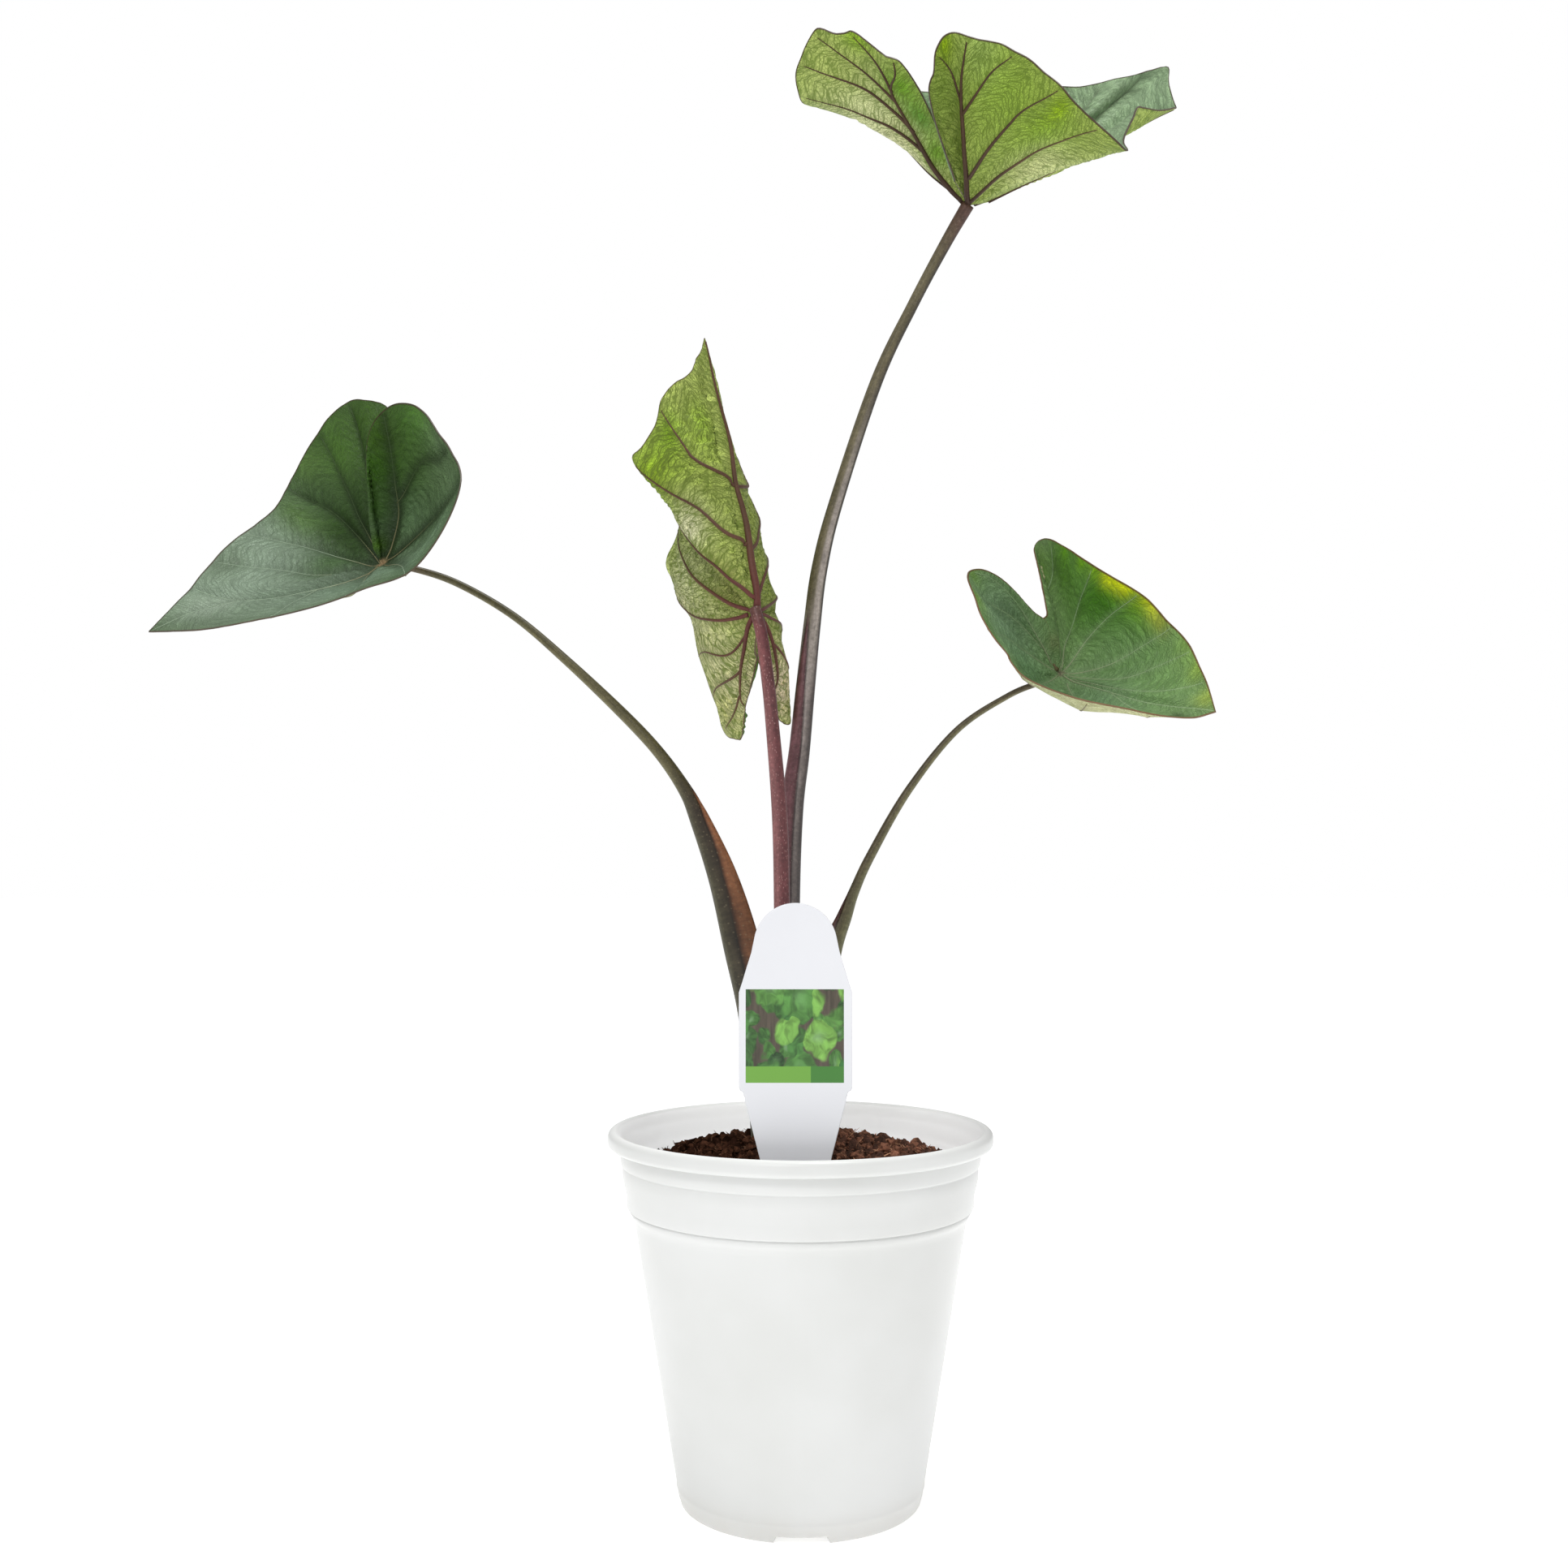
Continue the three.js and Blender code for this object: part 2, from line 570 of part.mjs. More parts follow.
// Stalks. A row is [x, y, z, radius, sheath]: the centre line from the foot to the blade, the radius, and
// how far the sheath stands out on the inner side.
const STALKS = {
  left: {
    inner: [1, -0.25, 0],
    rows: [
      [-10.5, 1, STALK_FOOT, 3.2, 0.5], [-11, 1, 104, 3.6, 1], [-13, 1, 124, 3.3, 3], [-16, 1, 144, 3, 5],
      [-20, 1, 161, 2.8, 6.4], [-25, 2, 182, 2.5, 4.6], [-31, 3, 200, 2.2, 2], [-34.7, 3, 209, 2, 0.4],
      [-42.2, 4, 220, 1.8, 0], [-53, 6, 231.7, 1.7, 0], [-71.3, 8, 249, 1.4, 0], [-87.8, 10, 262.9, 1.2, 0],
      [-105, 10, 272.9, 1.1, 0], [-118, 7, 277, 1, 0], [-127, 2, 277.5, 1, 0],
    ],
  },
  right: {
    inner: [-1, -0.2, 0],
    rows: [
      [5, -1, STALK_FOOT, 2.8, 0.4], [5, -1, 104, 3, 0.8], [6, -1, 125, 2.6, 1.4], [7.8, -1, 145, 2.3, 2],
      [10.4, -1, 161, 2, 2.2], [13.6, 0, 171, 1.8, 1], [16.3, 0, 179, 1.5, 0.2], [21.2, 1, 189.6, 1.4, 0],
      [32.6, 3, 209.1, 1.2, 0], [47.6, 6, 227.5, 1, 0], [63.2, 7, 238, 0.9, 0], [72.7, 5, 242, 0.9, 0],
      [78, 0, 244.2, 0.9, 0],
    ],
  },
  tall: {
    inner: [-1, -0.55, 0],
    rows: [
      [-2.5, 6, STALK_FOOT, 3.6, 0.4], [-3, 6, 104, 3.8, 0.8], [-3.4, 6, 140, 3.6, 1.4], [-3.4, 7, 175, 3.4, 1.8],
      [-2.2, 8, 203, 3.2, 1.6], [0, 10, 221, 3, 1.4], [1.8, 11, 240, 2.8, 1], [3.8, 12, 260, 2.6, 0.4],
      [6.1, 12, 278, 2.5, 0], [11.1, 11, 298, 2.2, 0], [23.6, 9, 335.3, 1.9, 0], [34.7, 6, 358.3, 1.7, 0],
      [44.4, 3, 376.1, 1.8, 0], [51, 0, 387, 2, 0],
    ],
  },
  middle: {
    inner: [0, 1, 0],
    rows: [
      [-4.5, -6, STALK_FOOT, 2.6, 0], [-4.6, -6, 104, 2.8, 0], [-5.2, -5.8, 142, 2.6, 0], [-5.5, -5.6, 176, 2.4, 0],
      [-6.2, -7.6, 202, 2.3, 0], [-8.3, -11, 228, 2, 0], [-9.6, -14, 241, 1.9, 0], [-11.4, -16, 254, 1.8, 0],
      [-13.4, -14.6, 262, 1.7, 0],
    ],
  },
};

function makeStalk({ rows, inner }, grow) {
  const rings = [];
  const centres = [];
  const innerSide = new THREE.Vector3(...inner);
  for (let count = 0; count <= STALK_STEPS; count += 1) {
    const place = count / STALK_STEPS;
    const [x, y, z, radius, sheath] = alongRows(rows, place);
    const ahead = new THREE.Vector3(...alongRows(rows, Math.min(1, place + 0.01)));
    const behind = new THREE.Vector3(...alongRows(rows, Math.max(0, place - 0.01)));
    const centre = new THREE.Vector3(x, y, z);
    const course = ahead.sub(behind).normalize();
    if (count === 0) {
      centre.z -= grow;
      course.set(0, 0, 1);
    }
    const sideways = course.clone().cross(innerSide).normalize();
    const inwards = sideways.clone().cross(course).normalize();
    const ring = [];
    for (let side = 0; side < STALK_SIDES; side += 1) {
      const angle = side * 2 * Math.PI / STALK_SIDES;
      const reach = Math.cos(angle) > 0 ? radius + Math.max(0, sheath) : radius;
      const across = centre.clone().addScaledVector(inwards, (reach + grow) * Math.cos(angle));
      ring.push(across.addScaledVector(sideways, (radius + grow) * Math.sin(angle)));
    }
    rings.push(ring);
    centres.push(centre);
  }
  return toManifold(skinOverRings(rings, centres[0], centres[STALK_STEPS]));
}

// The finished object
const MATERIALS = {
  pot: { color: 0xeceeec, roughness: 0.35, metalness: 0 },
  soil: { color: 0x3a251c, roughness: 0.95, metalness: 0 },
  plant_tag: { color: 0xf2f3f6, roughness: 0.4, metalness: 0 },
  leaf_left: { color: 0x35552c, roughness: 0.5, metalness: 0 },
  leaf_right: { color: 0x47693c, roughness: 0.5, metalness: 0 },
  leaf_tall: { color: 0x7c9a3c, roughness: 0.55, metalness: 0 },
  leaf_middle: { color: 0x8fa24c, roughness: 0.55, metalness: 0 },
  stalk_left: { color: 0x55543a, roughness: 0.5, metalness: 0 },
  stalk_right: { color: 0x55513c, roughness: 0.5, metalness: 0 },
  stalk_tall: { color: 0x564a47, roughness: 0.45, metalness: 0 },
  stalk_middle: { color: 0x6d3f45, roughness: 0.45, metalness: 0 },
};

const plant = new THREE.Group();

function place(name, geometry) {
  const mesh = new THREE.Mesh(geometry, new THREE.MeshStandardMaterial(MATERIALS[name]));
  mesh.name = name;
  plant.add(mesh);
}

place('pot', makePot());
const sockets = Object.values(STALKS).map((stalk) => makeStalk(stalk, GAP));
place('soil', makeSoil([...sockets, makeTag(GAP)]));
place('plant_tag', fromManifold(makeTag(0)));
for (const [name, blade] of Object.entries(blades)) {
  const clearOfBlade = makeStalk(STALKS[name], 0).subtract(blade.solid(BLADE_GAP));
  place(`leaf_${name}`, fromManifold(largestPiece(blade.solid(0))));
  place(`stalk_${name}`, fromManifold(largestPiece(clearOfBlade)));
}

export default plant;
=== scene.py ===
# A young elephant ear plant with cup-shaped leaves, in a white plastic grower's pot.
# The tables hold millimetres and degrees. Meshes are made in metres.
import math

import bpy
import numpy as np
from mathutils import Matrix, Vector


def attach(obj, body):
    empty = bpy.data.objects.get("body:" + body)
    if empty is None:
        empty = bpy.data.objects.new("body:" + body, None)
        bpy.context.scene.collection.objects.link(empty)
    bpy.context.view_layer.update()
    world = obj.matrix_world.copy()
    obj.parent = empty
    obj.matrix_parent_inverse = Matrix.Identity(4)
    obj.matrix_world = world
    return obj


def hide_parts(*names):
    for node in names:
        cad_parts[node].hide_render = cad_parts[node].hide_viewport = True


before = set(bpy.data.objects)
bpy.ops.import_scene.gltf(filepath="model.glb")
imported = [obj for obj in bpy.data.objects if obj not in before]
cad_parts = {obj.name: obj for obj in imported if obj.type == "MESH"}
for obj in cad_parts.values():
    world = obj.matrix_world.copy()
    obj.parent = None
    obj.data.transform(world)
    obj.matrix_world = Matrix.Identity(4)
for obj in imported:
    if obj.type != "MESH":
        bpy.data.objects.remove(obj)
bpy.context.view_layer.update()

MM = 0.001
SEED = 20

# Camera and photograph
CAMERA_PLACE = (-4.87, -521.4, 192.2)
CAMERA_PITCH = 0.036
FOCAL_PIXELS = 2142.8
PHOTO_PIXELS = 1932
SENSOR = 36.0

# Pot
LIP_RADIUS = 57.1
BASE_RADIUS = 35.6
WALL_TAPER = 0.164
WALL = 1.5
FLOOR = 3.6
STEP_HEIGHT = 82.5
STEP_RISE = 4
STEP_DEPTH = 1.6
NECK_HEIGHT = 99
LIP_FOOT = 103.2
LIP_TOP = 108.7
POT_SIDES = 192
NOTCH_WIDTH = 14
NOTCH_HEIGHT = 2
INSIDE_ROWS = 16

# Soil
SOIL_EDGE = 95
SOIL_MOUND = 9.5
SOIL_SIDES = 160
SOIL_RINGS = 64
CRUMBS = 2300
FIBRES = 640

# Tag
TAG_Y = -41
TAG_CENTRE = -1.7
TAG_CLEAR = (12, 1.6)
TAG_FRONT = TAG_Y - 0.38
PRINT_SPAN = (-15.4, 11.6)
PICTURE_SPAN = (131.9, 153.0)
BAND_SPAN = (127.4, 131.9)
BAND_SPLIT = 2.5

# Leaves and stalks
MARGIN_STEPS = 720
COLUMNS = 320
RINGS = 108
BLADE_HALF = 0.36
MARGIN_HALF = 0.2
RING_POWER = 0.9
CELL = (2.5, 6.0)
BATCH = 4000
BAND_TURN = 22
BAND_SHEAR = 0.7
STALK_SIDES = 48
STALK_STEPS = 130
SLIT_DEPTH = 0.45
SLIT_TURN = 7
SHEATH_RISE = (135, 215)
STALK_TOP = (74, 48, 42)

# Studio. A light is its name, its place in metres, its power and its size.
LIGHTS = (("key", (-0.35, -0.95, 1.0), 4.6, 0.35), ("top", (0.2, -0.1, 1.6), 11.5, 0.5))
LIGHT_TARGET = (0, 0, 0.22)
SKY = 0.6
FLOOR_GLOW = 0.45
FLOOR_REACH = 6.0


def linear(red, green, blue):
    """Linear colour from display values of 0 to 255."""
    values = np.array([red, green, blue], float) / 255
    return np.where(values <= 0.04045, values / 12.92, ((values + 0.055) / 1.055) ** 2.4)


def unit(vectors):
    return vectors / np.maximum(np.linalg.norm(vectors, axis=-1, keepdims=True), 1e-12)


def smooth(low, high, value):
    share = np.clip((value - low) / (high - low), 0, 1)
    return share * share * (3 - 2 * share)


def blend(first, second, share):
    return first * (1 - share) + second * share


def circle(turn, radius, height):
    """Points at these turns about the Z axis."""
    return np.stack(np.broadcast_arrays(np.cos(turn) * radius, np.sin(turn) * radius, height), -1)


def catmull(rows, place):
    """Smooth row through a table of rows, at places from 0 to 1 along it."""
    last = len(rows) - 1
    along = np.clip(place, 0, 1) * last
    index = np.minimum(along.astype(int), last - 1)
    share = (along - index)[:, None]
    ends = np.vstack([2 * rows[0] - rows[1], rows, 2 * rows[-1] - rows[-2]])
    before, start, end, after = (ends[index + step] for step in range(4))
    slope = share * (end - before)
    bend = share**2 * (2 * before - 5 * start + 4 * end - after)
    twist = share**3 * (3 * start - before - 3 * end + after)
    return start + (slope + bend + twist) / 2


# Meshes
def make_piece(name, points, faces, materials, face_material=None, flat_shaded=False):
    """Mesh object from points in millimetres, on the root body, with its finish slot."""
    mesh = bpy.data.meshes.new(name)
    mesh.from_pydata((np.asarray(points) * MM).tolist(), [], faces)
    for material in materials:
        mesh.materials.append(material)
    if face_material is not None:
        mesh.polygons.foreach_set("material_index", np.asarray(face_material, np.int32))
    mesh.polygons.foreach_set("use_smooth", np.full(len(mesh.polygons), not flat_shaded))
    mesh.update()
    piece = bpy.data.objects.new(name, mesh)
    bpy.context.scene.collection.objects.link(piece)
    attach(piece, "root")
    return piece


def paint(piece, name, colours):
    """Colour attribute from linear colours, one a vertex."""
    layer = piece.data.color_attributes.new(name, "FLOAT_COLOR", "POINT")
    alpha = np.ones((len(colours), 1))
    layer.data.foreach_set("color", np.hstack([colours, alpha]).astype(np.float32).ravel())


def keep_vectors(piece, name, vectors):
    layer = piece.data.attributes.new(name, "FLOAT_VECTOR", "POINT")
    layer.data.foreach_set("vector", np.asarray(vectors, np.float32).ravel())


def sharpen(piece, is_sharp):
    """Marks the edges for which is_sharp(first vertices, second vertices) holds."""
    ends = np.zeros(len(piece.data.edges) * 2, np.int32)
    piece.data.edges.foreach_get("vertices", ends)
    layer = piece.data.attributes.new("sharp_edge", "BOOLEAN", "EDGE")
    layer.data.foreach_set("value", is_sharp(ends[0::2], ends[1::2]))


def ring_faces(rings, sides, offset=0):
    """Quads between closed rings of points and a fan at each end."""
    faces = []
    for ring in range(rings - 1):
        base = offset + ring * sides
        for side in range(sides):
            after = (side + 1) % sides
            faces.append((base + side, base + after, base + sides + after, base + sides + side))
    faces.append(tuple(offset + side for side in reversed(range(sides))))
    faces.append(tuple(offset + (rings - 1) * sides + side for side in range(sides)))
    return faces


# Material nodes
class Shader:
    """A material with one Principled shader, built up node by node."""

    def __init__(self, name, roughness=0.5, **values):
        self.material = bpy.data.materials.new(name)
        self.material.use_nodes = True
        self.nodes = self.material.node_tree.nodes
        self.link = self.material.node_tree.links.new
        self.shader = self.nodes["Principled BSDF"]
        for key, value in {"Roughness": roughness, **values}.items():
            self.put(self.shader.inputs[key.replace("_", " ")], value)

    def put(self, socket, value):
        if isinstance(value, bpy.types.NodeSocket):
            self.link(value, socket)
        else:
            socket.default_value = (*value, 1) if socket.type == "RGBA" else value

    def node(self, kind, inputs, output=0, **settings):
        """One output of a new node with these settings, and inputs by name or number."""
        node = self.nodes.new("ShaderNode" + kind)
        for key, value in settings.items():
            setattr(node, key, value)
        for key, value in inputs.items():
            self.put(node.inputs[key], value)
        return node.outputs[output]

    def attribute(self, name, output="Vector"):
        return self.node("Attribute", {}, output, attribute_name=name)

    def separate(self, vector, axis):
        return self.node("SeparateXYZ", {0: vector}, axis)

    def place(self):
        return self.node("TexCoord", {}, "Object")

    def stretch(self, vector, scale):
        return self.node("Mapping", {"Vector": vector, "Scale": scale})

    def noise(self, vector, scale, detail=3, rough=0.5, warp=0, output="Fac"):
        inputs = {"Vector": vector, "Scale": scale, "Detail": detail, "Roughness": rough, "Distortion": warp}
        return self.node("TexNoise", inputs, output)

    def cells(self, vector, scale, feature="DISTANCE_TO_EDGE", output="Distance"):
        return self.node("TexVoronoi", {"Vector": vector, "Scale": scale}, output, feature=feature)

    def math(self, operation, *values):
        return self.node("Math", dict(enumerate(values)), operation=operation)

    def add_vectors(self, first, second, scale):
        """The first vector plus the second times a scale, to warp a coordinate."""
        scaled_second = self.node("VectorMath", {0: second, "Scale": scale}, operation="SCALE")
        return self.node("VectorMath", {0: first, 1: scaled_second})

    def between(self, value, low, high, start=0, end=1):
        """Smooth step of a value, from start at low to end at high."""
        inputs = {"Value": value, "From Min": low, "From Max": high, "To Min": start, "To Max": end}
        return self.node("MapRange", inputs, interpolation_type="SMOOTHSTEP")

    def mix(self, factor, first, second, mode="MIX"):
        return self.node("Mix", {0: factor, 6: first, 7: second}, 2, data_type="RGBA", blend_type=mode)

    def scaled(self, source, low, high, value):
        """The colour darkened or lightened by a value, between two factors."""
        factor = self.between(value, 0.25, 0.75, low, high)
        grey = self.node("CombineXYZ", {0: factor, 1: factor, 2: factor})
        return self.mix(1, source, grey, "MULTIPLY")

    def colour(self, source):
        self.link(source, self.shader.inputs["Base Color"])

    def rough(self, source):
        self.link(source, self.shader.inputs["Roughness"])

    def bump(self, height, distance, strength=1):
        inputs = {"Distance": distance, "Strength": strength, "Height": height}
        self.link(self.node("Bump", inputs), self.shader.inputs["Normal"])


def leaf_face(name, net_tone, contrast, roughness, specular, margin, net_lift, margin_tone):
    """Blade material: painted tint with its painted light and shade, bands and a fine net of small veins,
    mottling and a dark margin.
    """
    net_share, streak = contrast
    shader = Shader(name, roughness, Specular_IOR_Level=specular)
    flat = shader.attribute("flat")
    wobble = shader.noise(flat, 230, 3, output="Color")
    bands = shader.add_vectors(shader.attribute("bands"), wobble, 0.0032)
    warped = shader.add_vectors(flat, wobble, 0.0016)
    band = shader.between(shader.cells(shader.stretch(bands, (1, 0.3, 1)), 620), 0, 0.13, 1, 0)
    fine = shader.between(shader.cells(warped, 1150), 0, 0.14, 0.6, 0)
    net = shader.math("MAXIMUM", band, fine)
    patches = shader.noise(flat, 55, 5, 0.62)
    grain = shader.noise(flat, 1300, 3, 0.6)
    streaks = shader.noise(shader.stretch(bands, (1, 0.08, 1)), 620, 3, 0.55)
    tint = shader.scaled(shader.attribute("tint", "Color"), 0.9, 1.11, patches)
    tint = shader.scaled(tint, 1 - streak, 1 + streak, streaks)
    tint = shader.scaled(tint, 0.92, 1.08, grain)
    tint = shader.mix(shader.math("MULTIPLY", net, net_share), tint, linear(*net_tone))
    from_edge = shader.separate(shader.attribute("from_edge"), 0)
    rim = shader.between(from_edge, margin * 0.4, margin, 0.9, 0)
    shader.colour(shader.mix(rim, tint, margin_tone))
    height = shader.math("MULTIPLY_ADD", net, net_lift, shader.math("MULTIPLY", grain, 0.4))
    shader.bump(height, 0.00022, 0.8)
    shader.rough(shader.between(patches, 0.3, 0.7, roughness - 0.06, roughness + 0.08))
    return shader.material


def rib_material(name):
    """Raised rib or vein: painted tint with a fibrous variation."""
    shader = Shader(name, Specular_IOR_Level=0.15)
    place = shader.place()
    tint = shader.scaled(shader.attribute("tint", "Color"), 0.85, 1.15, shader.noise(place, 90, 4, 0.6))
    shader.colour(shader.scaled(tint, 0.9, 1.1, shader.noise(place, 1500, 2)))
    shader.bump(shader.noise(place, 1200), 0.00008, 0.5)
    return shader.material


def margin_material(name, dark, light):
    shader = Shader(name)
    patches = shader.between(shader.noise(shader.place(), 90, 4, 0.6), 0.3, 0.7)
    shader.colour(shader.mix(patches, dark, light))
    shader.bump(shader.noise(shader.place(), 1200), 0.00008, 0.5)
    return shader.material


# Leaves. A spoke row is [angle, x, y, z, sag]: the angle in the flat leaf from the tip (0) to the
# notch (180), the place of its end on the margin, and how far it sags to the underside. A wave is
# [height, count, phase] and an edge row is (angle, bump or dent of the margin). A vein is [width,
# (angle, share), ...] from its start to its end, and a blob of tint is (angle, share, spread, tone,
# strength). Besides the leaf's own patches of colour, some blobs are painted sheen, painted light and
# painted shade, as said at each leaf. The tint along the veins is (strength, share of it on the tip's
# side, spread, tone); a tone darker than the blade is painted shade in the grooves by the veins, mixed
# with their own colour. The pucker shading paints shade into the creases between the puckers and
# light onto their crests. The hub is the (size, tone) of the spot over the stalk. Groove, bulge and
# pucker are heights of the relief, and calm is the share of the bulges that is left out on the left side.
LEAVES = {}
LEAVES["left"] = {
    "attach": [-126, 0, 277],
    "tip": [0, -188, -24, 254, 0],
    "right": [
        [-180, -123, 6, 281.5, 0], [-172, -124.5, 13, 291, 0], [-160, -132, 33, 331, 1],
        [-146, -141, 35, 336, 3], [-122, -152, 37, 330, 5], [-95, -163, 35, 311, 6],
        [-68, -166, 28, 299, 6], [-44, -173, 14, 289, 5], [-24, -180, -6, 270, 3],
    ],
    "left": [
        [16, -166, -34, 254, 1], [34, -137, -42, 257, 1], [50, -120, -46, 263, 0.5],
        [64, -106, -46, 270, 1.2], [82, -96, -40, 287, 3.5], [100, -98, -30, 303, 5.5],
        [120, -108, -18, 317, 6], [140, -121, -4, 325, 5], [156, -130.5, 0.5, 317, 1.5],
        [171, -130, -1, 295, -0.6], [180, -128.5, 0, 282, 0],
    ],
    "wave": [0.8, 7, 0.4],
    "edge": [
        (-180, 0), (-164, 0), (-160, 2), (-157, -0.5), (-154, -1.2), (-149, 0), (-143, 1.4), (-138, 2),
        (-127, 0.6), (-115, -0.3), (-103, 1.3), (-84, 1.4), (-66, 0.4), (-50, -0.3), (-45, 0.4), (-36, 1.7),
        (-27, 1), (-20, -0.4), (-10, -1.2), (0, -0.6), (9, -0.3), (18, 0.8), (30, 0), (80, 0), (90, 1.6),
        (96, 0.5), (103, -1.5), (114, -2), (123, 0.3), (129, 0.8), (137, 0), (180, 0),
    ],
    "veins": [
        [1.0, (24, 0.03), (16, 0.25), (3, 0.47), (-7, 0.68), (-6, 0.88), (0, 0.985)],
        [0.6, (-20, 0.1), (-32, 0.35), (-35, 0.62), (-34, 0.85), (-33, 0.97)],
        [0.7, (-67, 0.03), (-67, 0.41), (-59, 0.65), (-51, 0.84), (-46, 0.97)],
        [0.6, (-92, 0.03), (-98, 0.51), (-95, 0.74), (-88, 0.97)],
        [0.6, (-104, 0.03), (-109, 0.41), (-112, 0.65), (-115, 0.97)],
        [0.9, (-135, 0.03), (-138, 0.4), (-137, 0.66), (-137, 0.9), (-136, 0.97)],
        [0.5, (-138, 0.42), (-150, 0.65), (-158, 0.93)],
        [0.9, (118, 0.03), (141, 0.3), (145, 0.51), (147, 0.84), (147, 0.97)],
        [0.6, (144, 0.4), (129, 0.65), (115, 0.82), (109, 0.95)],
        [0.6, (104, 0.04), (100, 0.5), (92, 0.96)],
        [0.6, (66, 0.04), (66, 0.4), (60, 0.97)],
        [0.5, (22, 0.1), (38, 0.4), (43, 0.7), (44, 0.97)],
        [0.5, (10, 0.35), (19, 0.6), (26, 0.95)],
        [0.45, (-7, 0.66), (-17, 0.85), (-21, 0.97)],
    ],
    "upper": {
        "base": (58, 84, 36),
        # The pale grey blobs are a painted sheen: the soft light's reflection on the waxy lower and middle
        # part.
        "blobs": [
            (-30, 0.8, 36, (134, 152, 132), 1.0), (20, 0.5, 25, (118, 136, 116), 0.9),
            (0, 0.2, 8, (104, 122, 100), 0.6), (-33, 0.95, 7, (108, 126, 102), 0.8),
            (-6, 0.79, 9, (156, 172, 152), 0.8), (75, 0.7, 17, (94, 118, 90), 0.8),
            (42, 0.5, 10, (98, 120, 98), 0.8), (-90, 0.55, 14, (44, 72, 22), 0.9),
            (-100, 0.3, 20, (30, 52, 10), 0.95), (-135, 0.45, 16, (34, 58, 12), 0.9),
            (-48, 0.4, 7, (64, 94, 48), 0.7), (-75, 0.85, 10, (84, 116, 56), 0.8),
            (-122, 0.82, 11, (74, 110, 40), 0.8), (-145, 0.9, 10, (58, 90, 24), 0.8),
            (-160, 0.9, 6, (76, 112, 30), 0.7), (140, 0.6, 14, (56, 84, 32), 0.9),
            (155, 0.7, 6, (50, 88, 10), 0.9), (157, 0.45, 4, (52, 90, 8), 0.9),
            (163, 0.2, 3, (74, 112, 10), 0.9), (152, 0.9, 6, (52, 84, 14), 0.9),
            (128, 0.95, 8, (72, 120, 26), 0.8), (108, 0.92, 12, (102, 128, 88), 0.8),
            (122, 0.34, 9, (88, 114, 78), 0.8), (-104, 0.97, 7, (92, 124, 60), 0.6),
        ],
        "vein": (0.85, 0.3, 1.7, (26, 36, 18)),
        "pucker_shading": 0.12,
    },
    "under": {
        "base": (134, 148, 98),
        "blobs": [(0, 0.6, 40, (146, 158, 110), 0.7)],
        "vein": (0.4, 1, 1.2, (110, 104, 70)),
        "pucker_shading": 0.1,
    },
    "hub": (1.7, (168, 140, 104)),
    "groove": 0.6,
    "bulge": 0.6,
    "pucker": 0.4,
}
